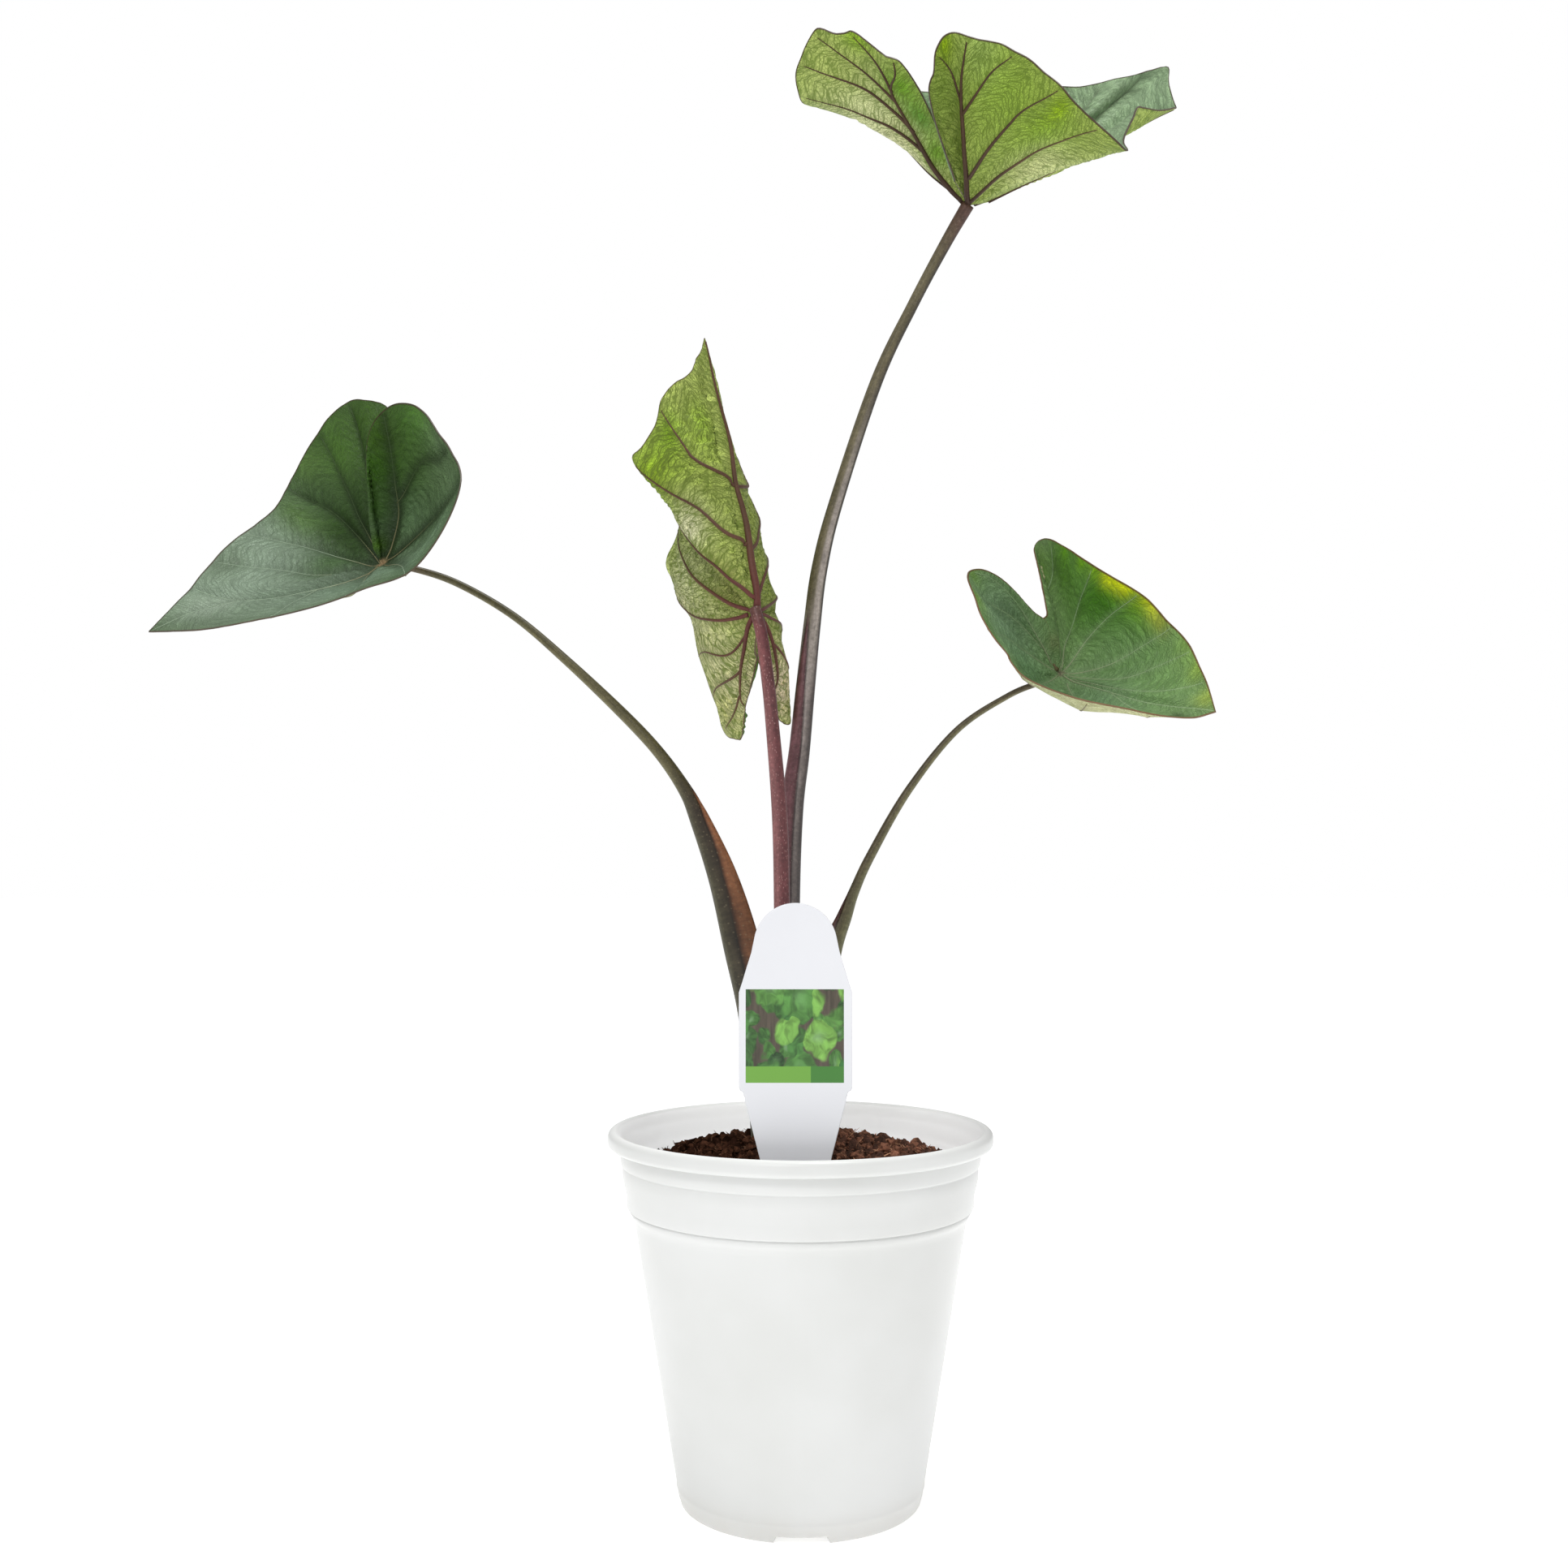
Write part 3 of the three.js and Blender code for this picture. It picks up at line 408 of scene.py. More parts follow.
LEAVES["right"] = {
    "attach": [78, 0, 244],
    "tip": [0, 114, -42, 230, 0],
    "right": [
        [-180, 73, -2, 260, 0], [-168, 67, -10, 263, 1], [-150, 57, -18, 271, 2], [-132, 49, -24, 270, 2],
        [-110, 51, -30, 260, 2], [-88, 57, -36, 247, 2], [-66, 61, -38, 239.8, 2.6],
        [-46, 75, -40, 234.4, 4.4], [-26, 92, -42, 229, 4.8], [-10, 106.5, -42.5, 228, 1.6],
    ],
    "left": [
        [12, 114, -30, 241, 3], [28, 111, -14, 255, 5], [46, 103, 0, 268, 6], [68, 91, 12, 278, 7],
        [94, 82.6, 22, 287, 6], [118, 78.2, 30, 290, 2.5], [138, 75.3, 30, 286, -1.5],
        [156, 74.5, 16, 274.6, -2], [171, 74.8, 5, 264.5, -1.2], [180, 73, -2, 260, 0],
    ],
    "wave": [0.7, 8, 2.1],
    "edge": [
        (-180, 0.5), (-173, 0.2), (-164, 1.8), (-155, 0.3), (-150, 0.1), (-143, 1.2), (-130, 1.5),
        (-120, 3), (-104, 3.4), (-96, 1), (-88, -1.5), (-80, 0.8), (-66, 0), (-6, 0), (0, 0.4), (14, 0),
        (22, 0.4), (34, -0.6), (44, 0.3), (57, 0), (70, 0.5), (86, 0.4), (96, -0.2), (112, 0), (120, 0.5),
        (128, 1.4), (138, 2.2), (150, -1), (156, -1.2), (163, 0.8), (170, -1.5), (180, 0.7),
    ],
    "veins": [
        [0.9, (-8, 0.03), (-8, 0.24), (-6, 0.47), (-4, 0.79), (0, 0.985)],
        [0.5, (-4, 0.1), (-2, 0.38), (4, 0.63), (9, 0.97)],
        [0.6, (4, 0.05), (13, 0.36), (19, 0.68), (20, 0.97)],
        [0.7, (24, 0.04), (31, 0.34), (33, 0.66), (31, 0.97)],
        [0.7, (63, 0.04), (63, 0.41), (56, 0.69), (48, 0.97)],
        [0.6, (112, 0.04), (104, 0.28), (82, 0.62), (70, 0.96)],
        [0.5, (150, 0.04), (163, 0.25), (158, 0.58), (145, 0.85), (138, 0.97)],
        [0.5, (161, 0.3), (135, 0.55), (108, 0.95)],
        [0.9, (-160, 0.04), (-166, 0.44), (-161, 0.79), (-146, 0.93), (-138, 0.975)],
        [0.5, (-165, 0.35), (-140, 0.6), (-122, 0.96)],
        [0.6, (-128, 0.04), (-110, 0.5), (-100, 0.96)],
        [0.6, (-64, 0.04), (-63, 0.5), (-66, 0.96)],
        [0.5, (-20, 0.1), (-33, 0.5), (-40, 0.96)],
        [0.4, (-7, 0.4), (-15, 0.75), (-20, 0.96)],
    ],
    "upper": {
        "base": (112, 142, 88),
        # The pale grey-green blobs on the lower half are a painted sheen, and the dark olive blob at -11 by
        # the tip is painted shade where the margin curls under.
        "blobs": [
            (-20, 0.5, 18, (108, 138, 100), 0.9), (-120, 0.6, 18, (130, 160, 124), 0.9),
            (-80, 0.6, 14, (88, 122, 82), 0.8), (95, 0.85, 16, (70, 116, 20), 0.9),
            (60, 0.82, 12, (62, 118, 10), 0.95), (130, 0.8, 10, (88, 124, 48), 0.8),
            (77, 0.98, 3, (110, 164, 14), 0.9), (93, 0.97, 3, (92, 146, 14), 0.8),
            (68, 0.98, 2.6, (128, 178, 8), 0.9), (59, 1.0, 2.8, (230, 242, 6), 1.0),
            (52, 0.99, 2.8, (244, 248, 8), 1.0), (47, 0.94, 2.8, (110, 160, 14), 0.9),
            (41, 1.0, 3.4, (240, 244, 10), 1.0), (44, 0.86, 4, (90, 140, 16), 0.7),
            (36, 0.97, 3, (170, 172, 56), 0.8), (14, 0.985, 3.5, (160, 186, 60), 0.8),
            (22, 0.98, 4, (140, 172, 60), 0.7), (4, 0.97, 3.5, (168, 186, 70), 0.7),
            (12, 0.75, 13, (112, 148, 84), 0.7), (32, 0.5, 10, (96, 130, 76), 0.6),
            (-135, 0.98, 5, (110, 150, 60), 0.7), (-100, 0.95, 5, (92, 132, 60), 0.7),
            (-11, 0.96, 3.2, (62, 82, 48), 0.9), (172, 0.5, 3, (110, 112, 78), 0.6),
            (-137, 0.6, 9, (106, 132, 98), 0.8), (-114, 0.98, 5, (120, 160, 60), 0.8),
        ],
        "vein": (0.3, 1, 0.8, (132, 152, 116)),
        "pucker_shading": 0.14,
    },
    "under": {
        "base": (164, 172, 124),
        "blobs": [(-30, 0.9, 20, (196, 198, 150), 0.9)],
        "vein": (0.4, 1, 1.2, (120, 110, 76)),
        "pucker_shading": 0.1,
    },
    "hub": (1.5, (128, 122, 100)),
    "groove": 0.35,
    "bulge": 0.5,
    "pucker": 0.34,
}
LEAVES["tall"] = {
    "attach": [51, 0, 387],
    "tip": [0, 120, 24, 428, 0],
    "right": [
        [-180, 46.3, -9.5, 390.8, 0], [-174, 39, -28.5, 400.5, 0], [-164, 37, -38, 409, 0],
        [-150, 41, -42, 419, 1], [-128, 50, -46, 416, 2], [-106, 61, -50, 409, 2], [-84, 71, -52, 400, 1],
        [-62, 78, -50, 393, -1], [-42, 89, -42, 387, -1], [-26, 95, -24, 399, 1], [-15, 102, -8, 413, 3],
        [-7, 111, 8, 419, 3],
    ],
    "left": [
        [9, 117, 26, 441, 3], [24, 104, 22, 436, 5], [44, 85, 24, 434, 6], [68, 63, 30, 436, 6],
        [90, 41, 30, 435, 5], [110, 19, 22, 431, 1], [128, 2, 4, 420, -4], [139, -1, -12, 424, -3],
        [150, 5, -22, 429, -3], [158, 14, -27, 427, -2], [165, 23, -28, 421, -1], [171, 31, -27, 415, 0],
        [176, 37.5, -22, 406, 0], [180, 46.8, -8.1, 393.2, 0],
    ],
    "wave": [0.9, 9, 1.2],
    "edge": [
        (-180, 0), (-174, 2), (-170, 3.2), (-166, 1.5), (-162, -0.5), (-160, 2.6), (-155, 1.8), (-150, 0.7),
        (-137, -0.4), (-130, -0.2), (-117, 1.8), (-104, 0.5), (-97, -0.6), (-91, -0.1), (-84, 1.2),
        (-60, 0), (-46, 2), (-38, 1.4), (-30, -1), (-20, 0.5), (-12, -1), (-6, 1.5), (-3, 2), (0, 0),
        (5, -1.4), (9, 2), (12, -1.8), (22, -1.8), (32, -0.4), (40, 0.1), (47, 1.5), (60, 0), (120, 0),
        (128, 0.6), (132, 0), (136, 0.9), (141, -0.1), (147, 0.8), (151.5, 2), (154, -1.2), (157, 0),
        (160, 2.6), (163, 1.2), (166, 0), (170, 3), (173, 0.6), (180, 0),
    ],
    "veins": [
        [1.1, (0, 0.03), (0, 0.5), (0, 0.985)],
        [1.1, (-100, 0.03), (-132, 0.26), (-140, 0.53), (-141, 0.66), (-140, 0.8), (-137, 0.97)],
        [0.6, (-139.5, 0.58), (-127, 0.7), (-118, 0.85), (-111, 0.97)],
        [0.5, (-140.5, 0.64), (-150, 0.78), (-158, 0.95)],
        [0.7, (-121, 0.2), (-104, 0.42), (-97, 0.63), (-93, 0.77), (-84, 0.97)],
        [0.7, (-92, 0.03), (-72, 0.3), (-65, 0.5), (-61, 0.65), (-54, 0.97)],
        [0.6, (-12, 0.1), (-22, 0.5), (-32, 0.96)],
        [0.5, (0, 0.42), (-10, 0.72), (-17, 0.96)],
        [1.0, (118, 0.03), (143, 0.21), (151, 0.37), (154, 0.51), (158, 0.66), (166, 0.87), (168, 0.97)],
        [0.6, (158, 0.65), (160.5, 0.82), (159, 0.97)],
        [0.7, (152.5, 0.4), (151, 0.51), (148, 0.65), (144, 0.79), (140, 0.97)],
        [0.6, (156, 0.6), (153, 0.74), (149, 0.97)],
        [0.6, (148, 0.3), (142, 0.51), (136, 0.67), (132, 0.96)],
        [0.6, (130, 0.1), (112, 0.5), (104, 0.96)],
        [0.7, (84, 0.03), (68, 0.4), (60, 0.97)],
        [0.6, (12, 0.1), (25, 0.5), (31, 0.96)],
        [0.5, (0, 0.4), (11, 0.72), (15, 0.96)],
    ],
    "upper": {
        "base": (124, 150, 110),
        "blobs": [(15, 0.85, 26, (164, 190, 150), 0.9), (0, 0.4, 30, (120, 144, 104), 0.6)],
        "vein": (0.7, 1, 1.2, (66, 84, 58)),
        "pucker_shading": 0.3,
    },
    "under": {
        "base": (148, 166, 82),
        # The near-white and pale grey-green blobs are painted light: the glow through the thin blade.
        "blobs": [
            (-110, 0.75, 18, (138, 170, 58), 0.8), (-90, 0.4, 12, (158, 180, 88), 0.6),
            (138, 0.65, 14, (200, 206, 150), 0.9), (146, 0.85, 12, (166, 180, 100), 0.8),
            (112, 0.5, 16, (240, 240, 194), 0.95), (161, 0.5, 7, (64, 128, 2), 1.0),
            (158, 0.3, 5, (92, 144, 8), 0.9), (164, 0.75, 6, (96, 150, 8), 0.9),
            (160, 0.97, 5, (140, 182, 20), 0.8), (140, 0.45, 8, (206, 208, 154), 0.8),
            (-70, 0.7, 14, (128, 168, 26), 0.85), (-158, 0.75, 9, (124, 150, 60), 0.7),
            (-153, 0.97, 5, (160, 196, 16), 0.9), (-45, 0.5, 14, (206, 212, 150), 0.9),
            (-76, 0.9, 6, (142, 176, 14), 0.9), (-128, 0.95, 10, (158, 184, 96), 0.8),
            (-150, 0.35, 6, (122, 142, 58), 0.7),
        ],
        "vein": (0.4, 1, 1.0, (108, 108, 50)),
        "pucker_shading": 0.14,
    },
    "hub": (1.2, (84, 64, 48)),
    "groove": 0.35,
    "bulge": 0.8,
    "pucker": 0.5,
}
LEAVES["middle"] = {
    "attach": [-13, -14, 260],
    "tip": [0, -29, 0, 346, -1],
    "right": [
        [-180, -13, -12, 250, 0], [-172, -16, -4, 236, 1], [-162, -19, 6, 224, 2], [-150, -24, 12, 231, 3],
        [-132, -31, 18, 252, 5], [-112, -37, 26, 270, 8], [-92, -42, 27, 283, 8.5],
        [-72, -38, 22, 295, 6.5], [-54, -41.5, 14, 303.2, 3], [-40, -50.4, 4, 308.6, 1],
        [-29, -42, -2, 323, 3.5], [-18, -38, -3, 332, 3], [-8, -32, -2, 338, 2],
    ],
    "left": [
        [8, -27, 10, 339, 2], [20, -25, 20, 329, 4], [38, -21, 30, 312, 5], [60, -16, 36, 292, 5],
        [84, -13, 38, 277, 5], [108, -10, 34, 262, 5], [132, -6, 22, 248, 4], [150, -3, 8, 231, 3],
        [162, -6, 1, 231, 2], [172, -9, -5, 239, 1], [180, -13, -12, 250, 0],
    ],
    "wave": [0.8, 10, 0],
    "edge": [
        (-180, 2), (-175, 3.2), (-169, 2.6), (-165, 1.6), (-162, -1), (-158, -0.8), (-154, 1.8),
        (-150, 2.4), (-145, 0), (-100, 0), (-92, 1), (-84, 0), (-60, -0.6), (-50, 0), (-43, -0.4),
        (-39.5, 2.8), (-36, -0.6), (-31, -1), (-27, 1.8), (-20, 0.2), (-14, -1.2), (-10, -1), (-6, 0.4),
        (-2, -1.6), (0, 0.6), (2, -1.6), (8, 0), (152, 0), (158, 0.6), (163, 1.2), (170, 0), (180, 2),
    ],
    "veins": [
        [1.5, (5, 0.02), (5, 0.29), (4, 0.39), (3, 0.49), (4, 0.66), (2, 0.79), (1, 0.92), (0, 0.985)],
        [0.7, (3.5, 0.48), (-20, 0.65), (-24, 0.75), (-28, 0.97)],
        [0.8, (4.5, 0.26), (-19, 0.34), (-29, 0.5), (-36, 0.75), (-40, 0.96)],
        [0.8, (4, 0.05), (-32, 0.18), (-38, 0.34), (-46, 0.6), (-53, 0.96)],
        [0.8, (-60, 0.03), (-83, 0.18), (-80, 0.4), (-78, 0.61), (-76, 0.97)],
        [0.8, (-110, 0.04), (-124, 0.14), (-122, 0.35), (-116, 0.65), (-108, 0.96)],
        [1.0, (-140, 0.03), (-152, 0.1), (-159, 0.26), (-162, 0.45), (-168, 0.7), (-172, 0.96)],
        [0.5, (-155, 0.15), (-146, 0.4), (-135, 0.71), (-133, 0.96)],
        [0.5, (-161, 0.44), (-146, 0.75), (-144, 0.96)],
        [0.5, (-167, 0.68), (-154, 0.93)],
        [0.7, (3.5, 0.48), (22, 0.65), (27, 0.97)],
        [0.7, (4.5, 0.24), (26, 0.4), (38, 0.65), (42, 0.96)],
        [0.7, (5, 0.07), (42, 0.3), (58, 0.6), (62, 0.96)],
        [0.7, (60, 0.04), (86, 0.35), (86, 0.96)],
        [0.7, (108, 0.04), (120, 0.35), (115, 0.96)],
        [0.9, (140, 0.03), (156, 0.26), (163, 0.6), (170, 0.96)],
        [0.5, (156, 0.26), (144, 0.6), (135, 0.96)],
    ],
    "upper": {
        "base": (92, 128, 56),
        "blobs": [(0, 0.5, 40, (104, 140, 64), 0.5)],
        "vein": (0.6, 1, 1.2, (70, 88, 42)),
        "pucker_shading": 0.14,
    },
    "under": {
        "base": (182, 198, 106),
        # The near-white blobs are painted light on the pale underside.
        "blobs": [
            (-18, 0.72, 13, (176, 200, 88), 0.9), (-40, 0.86, 10, (156, 194, 34), 0.95),
            (-41, 0.54, 7, (246, 244, 200), 1.0), (-90, 0.6, 18, (218, 222, 168), 0.9),
            (-12, 0.8, 7, (164, 202, 66), 0.7), (-28, 0.87, 6, (138, 184, 24), 0.8),
            (-150, 0.6, 16, (246, 244, 186), 0.95), (160, 0.7, 10, (246, 228, 184), 0.9),
            (-60, 0.2, 9, (160, 158, 92), 0.7), (-154, 0.79, 6, (236, 234, 160), 0.9),
            (162, 0.65, 9, (252, 234, 198), 0.9), (-115, 0.85, 8, (244, 238, 196), 0.9),
        ],
        "vein": (0.5, 1, 1.3, (106, 104, 52)),
        "pucker_shading": 0.7,
    },
    "hub": (1.2, (96, 56, 50)),
    "groove": 0.3,
    "bulge": 2.0,
    "calm": 0.65,
    "pucker": 1.6,
}


class Blade:
    """One leaf blade: its middle surface, its veins and the relief between them."""

    def __init__(self, leaf, seed):
        self.leaf = leaf
        self.attach = np.array(leaf["attach"], float)
        self.right_rows = np.array([*leaf["right"], leaf["tip"]], float)
        self.left_rows = np.array([leaf["tip"], *leaf["left"]], float)
        self.places = np.linspace(-1, 1, MARGIN_STEPS + 1)
        self.angles = np.maximum.accumulate(self.spoke(self.places)[:, 0])
        edge = np.array(leaf["edge"], float)
        offsets = np.interp(self.angles, edge[:, 0], edge[:, 1])
        self.offsets = np.convolve(np.pad(offsets, 3, "edge"), np.ones(7) / 7, "valid")
        self.lengths = np.linalg.norm(self.spoke_end(self.places), axis=1)
        self.veins = [self.vein_course(vein) for vein in leaf["veins"]]
        self.cells = self.cell_points(np.random.default_rng(seed))

    def spoke(self, place):
        """Row of the spoke at a place from -1 (notch) over 0 (tip) to 1 (notch)."""
        place = np.clip(place, -1, 1)
        right = catmull(self.right_rows, place + 1)
        left = catmull(self.left_rows, place)
        return np.where((place < 0)[:, None], right, left)

    def spoke_end(self, place):
        """Vector from the attach point to the margin, with the margin's small dents and bumps."""
        end = self.spoke(place)[:, 1:4] - self.attach
        length = np.linalg.norm(end, axis=1)
        return end * (1 + np.interp(place, self.places, self.offsets) / length)[:, None]

    def under(self, place):
        """Direction in which the underside faces, averaged over the spokes nearby."""
        total = 0
        for reach in (0.04, 0.08, 0.12):
            total = total + unit(np.cross(self.spoke_end(place + reach), self.spoke_end(place - reach)))
        return unit(total)

    def flat(self, angle, share):
        """Point of the flat leaf at a share of the way out to the margin."""
        length = np.interp(angle, self.angles, self.lengths) * share
        turn = np.radians(angle)
        return np.stack([np.cos(turn) * length, np.sin(turn) * length], -1)

    def from_flat(self, spots):
        angle = np.degrees(np.arctan2(spots[:, 1], spots[:, 0]))
        place = np.interp(angle, self.angles, self.places)
        length = np.interp(angle, self.angles, self.lengths)
        return place, np.minimum(1, np.linalg.norm(spots, axis=1) / length)

    def vein_course(self, vein):
        """Points about a millimetre apart along a vein in the flat leaf, and its half width there."""
        width, *stops = vein
        rows = np.array([self.flat(angle, share) for angle, share in stops])
        length = np.linalg.norm(np.diff(rows, axis=0), axis=1).sum()
        steps = np.linspace(0, 1, max(8, int(length)))
        return catmull(rows, steps), width * (1 - 0.78 * steps)

    def bands(self, flat):
        """Distance from the attach point and turn about it, in which the small veins run across."""
        turn = np.arctan2(flat[:, 1], flat[:, 0]) * BAND_TURN
        return np.stack([np.linalg.norm(flat, axis=1), turn], -1)

    def cell_points(self, rng):
        """Scattered centres of the puckers, in band coordinates."""
        along = int(self.lengths.max() / CELL[0]) + 2
        across = int(np.pi * BAND_TURN / CELL[1]) + 1
        grid = np.stack(np.meshgrid(np.arange(along), np.arange(-across, across)), -1).reshape(-1, 2)
        return grid + rng.uniform(0.1, 0.9, grid.shape)

    def vein_fields(self, flat):
        """Distance to the nearest vein, and the depth of its groove, for points of the flat leaf."""
        nearest = np.full(len(flat), 1e9)
        groove = np.zeros(len(flat))
        for course, half in self.veins:
            apart = np.linalg.norm(flat[:, None] - course[None], axis=2)
            closest = apart.argmin(1)
            distance = apart[np.arange(len(flat)), closest]
            width = half[closest]
            nearest = np.minimum(nearest, distance - width * 0.5)
            depth = (0.35 + width) * np.exp(-((distance / (1.1 + 1.3 * width)) ** 2))
            groove = np.maximum(groove, depth)
        return np.maximum(nearest, 0), groove

    def cell_edge(self, flat):
        """Distance measure that is 0 on the borders between puckers."""
        bands = self.bands(flat) / CELL
        result = np.zeros(len(flat))
        for start in range(0, len(flat), BATCH):
            part = slice(start, start + BATCH)
            apart = np.linalg.norm(bands[part, None] - self.cells[None], axis=2)
            nearest = np.partition(apart, 1, axis=1)
            result[part] = nearest[:, 1] - nearest[:, 0]
        return result

    def relief(self, place, share):
        """Lift towards the underside, from veins, puckers and a soft unevenness."""
        angle = self.spoke(place)[:, 0]
        flat = self.flat(angle, share)
        nearest, groove = self.vein_fields(flat)
        leaf = self.leaf
        fade = smooth(0, 0.12, share) * (0.25 + 0.75 * smooth(0, 0.12, 1 - share))
        calm = 1 - leaf.get("calm", 0) * smooth(-4, 14, angle)
        bulge = calm * (1 - np.exp(-((nearest / 5) ** 2)))
        pucker = smooth(0, 0.7, self.cell_edge(flat)) * smooth(0, 3, nearest)
        pucker = pucker * smooth(0, 14, 180 - np.abs(angle)) * (1.2 - 0.5 * share)
        uneven = np.sin(flat[:, 0] * 0.21 + 1) * np.sin(flat[:, 1] * 0.25 + 2)
        lift = leaf["groove"] * groove - leaf["bulge"] * bulge - leaf["pucker"] * pucker + 0.3 * uneven
        return lift * fade, flat, nearest, pucker

    def surface(self, place, share):
        """Points of the middle surface, their places in the flat leaf and their vein and pucker fields."""
        row = self.spoke(place)
        height, count, phase = self.leaf["wave"]
        fade = np.minimum(1, 2 * (1 - np.abs(place)))
        wave = height * fade * share**2 * np.sin(np.radians(row[:, 0]) * count + phase)
        relief, flat, nearest, pucker = self.relief(place, share)
        lift = 4 * row[:, 4] * share * (1 - share) + wave + relief
        points = self.spoke_end(place) * share[:, None] + self.under(place) * lift[:, None]
        return points + self.attach, flat, nearest, pucker

    def build_grid(self):
        self.grid_place = np.linspace(-1, 1, COLUMNS + 1)
        self.grid_share = np.linspace(0, 1, RINGS + 1) ** RING_POWER
        place = np.repeat(self.grid_place, RINGS + 1)
        share = np.tile(self.grid_share, COLUMNS + 1)
        points, flat, nearest, self.pucker = self.surface(place, share)
        shape = (COLUMNS + 1, RINGS + 1)
        self.points = points.reshape(*shape, 3)
        across = np.gradient(self.points, axis=0)
        outward = np.gradient(self.points, axis=1)
        normals = np.cross(across, outward)
        normals[:, 0] = normals[:, 1].sum(0)
        self.normals = unit(normals)
        self.flat_grid = flat.reshape(*shape, 2)
        self.nearest = nearest.reshape(shape)
        lengths = np.interp(self.grid_place, self.places, self.lengths)
        self.margin = (1 - self.grid_share)[None] * lengths[:, None]

    def tint(self, side, flat, nearest):
        """Painted colour of a face: a base with soft patches and painted light and shade, darker or paler
        along the veins.
        """
        rule = self.leaf[side]
        colour = np.tile(linear(*rule["base"]), (len(flat), 1))
        # Blobs of the leaf's own colour, among them painted sheen, painted light and painted shade.
        for angle, share, spread, tone, strength in rule["blobs"]:
            centre = self.flat(np.array([float(angle)]), np.array([share]))
            distance = np.linalg.norm(flat - centre, axis=1)
            weight = strength * np.exp(-((distance / spread) ** 2))[:, None]
            colour = blend(colour, linear(*tone), weight)
        # Painted shade in the creases between the puckers and painted light on their crests.
        colour = colour * (1 + rule["pucker_shading"] * (self.pucker - 0.6))[:, None]
        # Along the veins: a tone darker than the blade is painted shade in their grooves, a paler one their
        # own colour.
        strength, front, spread, tone = rule["vein"]
        turn = np.abs(np.degrees(np.arctan2(flat[:, 1], flat[:, 0])))
        strength = strength * (front + (1 - front) * smooth(55, 95, turn))
        outwards = np.minimum(1, np.linalg.norm(flat, axis=1) / 60)
        weight = (strength * (1 - 0.55 * outwards) * np.exp(-((nearest / spread) ** 2)))[:, None]
        colour = blend(colour, linear(*tone), weight)
        size, tone = self.leaf["hub"]
        weight = np.exp(-((np.linalg.norm(flat, axis=1) / size) ** 4))[:, None]
        return blend(colour, linear(*tone), weight)

    def sample(self, spots):
        """Points and underside directions of the fine grid at spots of the flat leaf."""
        place, share = self.from_flat(spots)
        column = np.clip((place + 1) / 2 * COLUMNS, 0, COLUMNS - 1e-6)
        ring = np.clip(share ** (1 / RING_POWER) * RINGS, 0, RINGS - 1e-6)
        left, inner = column.astype(int), ring.astype(int)
        across, outward = (column - left)[:, None], (ring - inner)[:, None]
        found = []
        for table in (self.points, self.normals):
            low = blend(table[left, inner], table[left, inner + 1], outward)
            high = blend(table[left + 1, inner], table[left + 1, inner + 1], outward)
            found.append(blend(low, high, across))
        return found[0], unit(found[1]), half_thickness(share)


def half_thickness(share):
    return BLADE_HALF + (MARGIN_HALF - BLADE_HALF) * share**6


def plate_faces(index):
    """Faces of the underside, the upper side and the rim, with the number of each face's material."""
    count = index.size
    first, second, third, fourth = index[:-1, :-1], index[1:, :-1], index[1:, 1:], index[:-1, 1:]
    low = np.stack([first, second, third, fourth], -1).reshape(-1, 4)
    high = np.stack([first, fourth, third, second], -1).reshape(-1, 4) + count
    parts = [low, high]
    for edge in (index[:, -1], index[0], index[-1, ::-1]):
        parts.append(np.stack([edge[:-1], edge[1:], edge[1:] + count, edge[:-1] + count], -1))
    faces = np.vstack(parts)
    return faces.tolist(), np.repeat([0, 1, 2], [len(low), len(high), len(faces) - 2 * len(low)])


def leaf_plate(name, blade, materials):
    """The blade as a thin closed solid: underside, upper side and rim, each with its own material."""
    blade.build_grid()
    offset = blade.normals * half_thickness(blade.grid_share)[None, :, None]
    under = (blade.points + offset).reshape(-1, 3)
    upper = (blade.points - offset).reshape(-1, 3)
    count = len(under)
    index = np.arange(count).reshape(COLUMNS + 1, RINGS + 1)
    faces, kinds = plate_faces(index)
    piece = make_piece(name + "_blade", np.vstack([under, upper]), faces, materials, kinds)
    on_rim = np.tile(np.isin(np.arange(count), np.concatenate([index[:, -1], index[0], index[-1]])), 2)
    side = np.arange(2 * count) >= count
    sharpen(piece, lambda one, two: on_rim[one] & on_rim[two] & (side[one] == side[two]))
    flat = blade.flat_grid.reshape(-1, 2)
    nearest = blade.nearest.ravel()
    tints = np.vstack([blade.tint("under", flat, nearest), blade.tint("upper", flat, nearest)])
    paint(piece, "tint", tints)
    level = np.concatenate([np.zeros(count), np.full(count, 0.5)])
    bands = blade.bands(flat)
    bands[:, 0] -= BAND_SHEAR * nearest
    keep_vectors(piece, "flat", np.column_stack([np.vstack([flat, flat]) * MM, level]))
    keep_vectors(piece, "bands", np.column_stack([np.vstack([bands, bands]) * MM, level]))
    keep_vectors(piece, "from_edge", np.tile(blade.margin.reshape(-1, 1), (2, 3)))
    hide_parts(name)


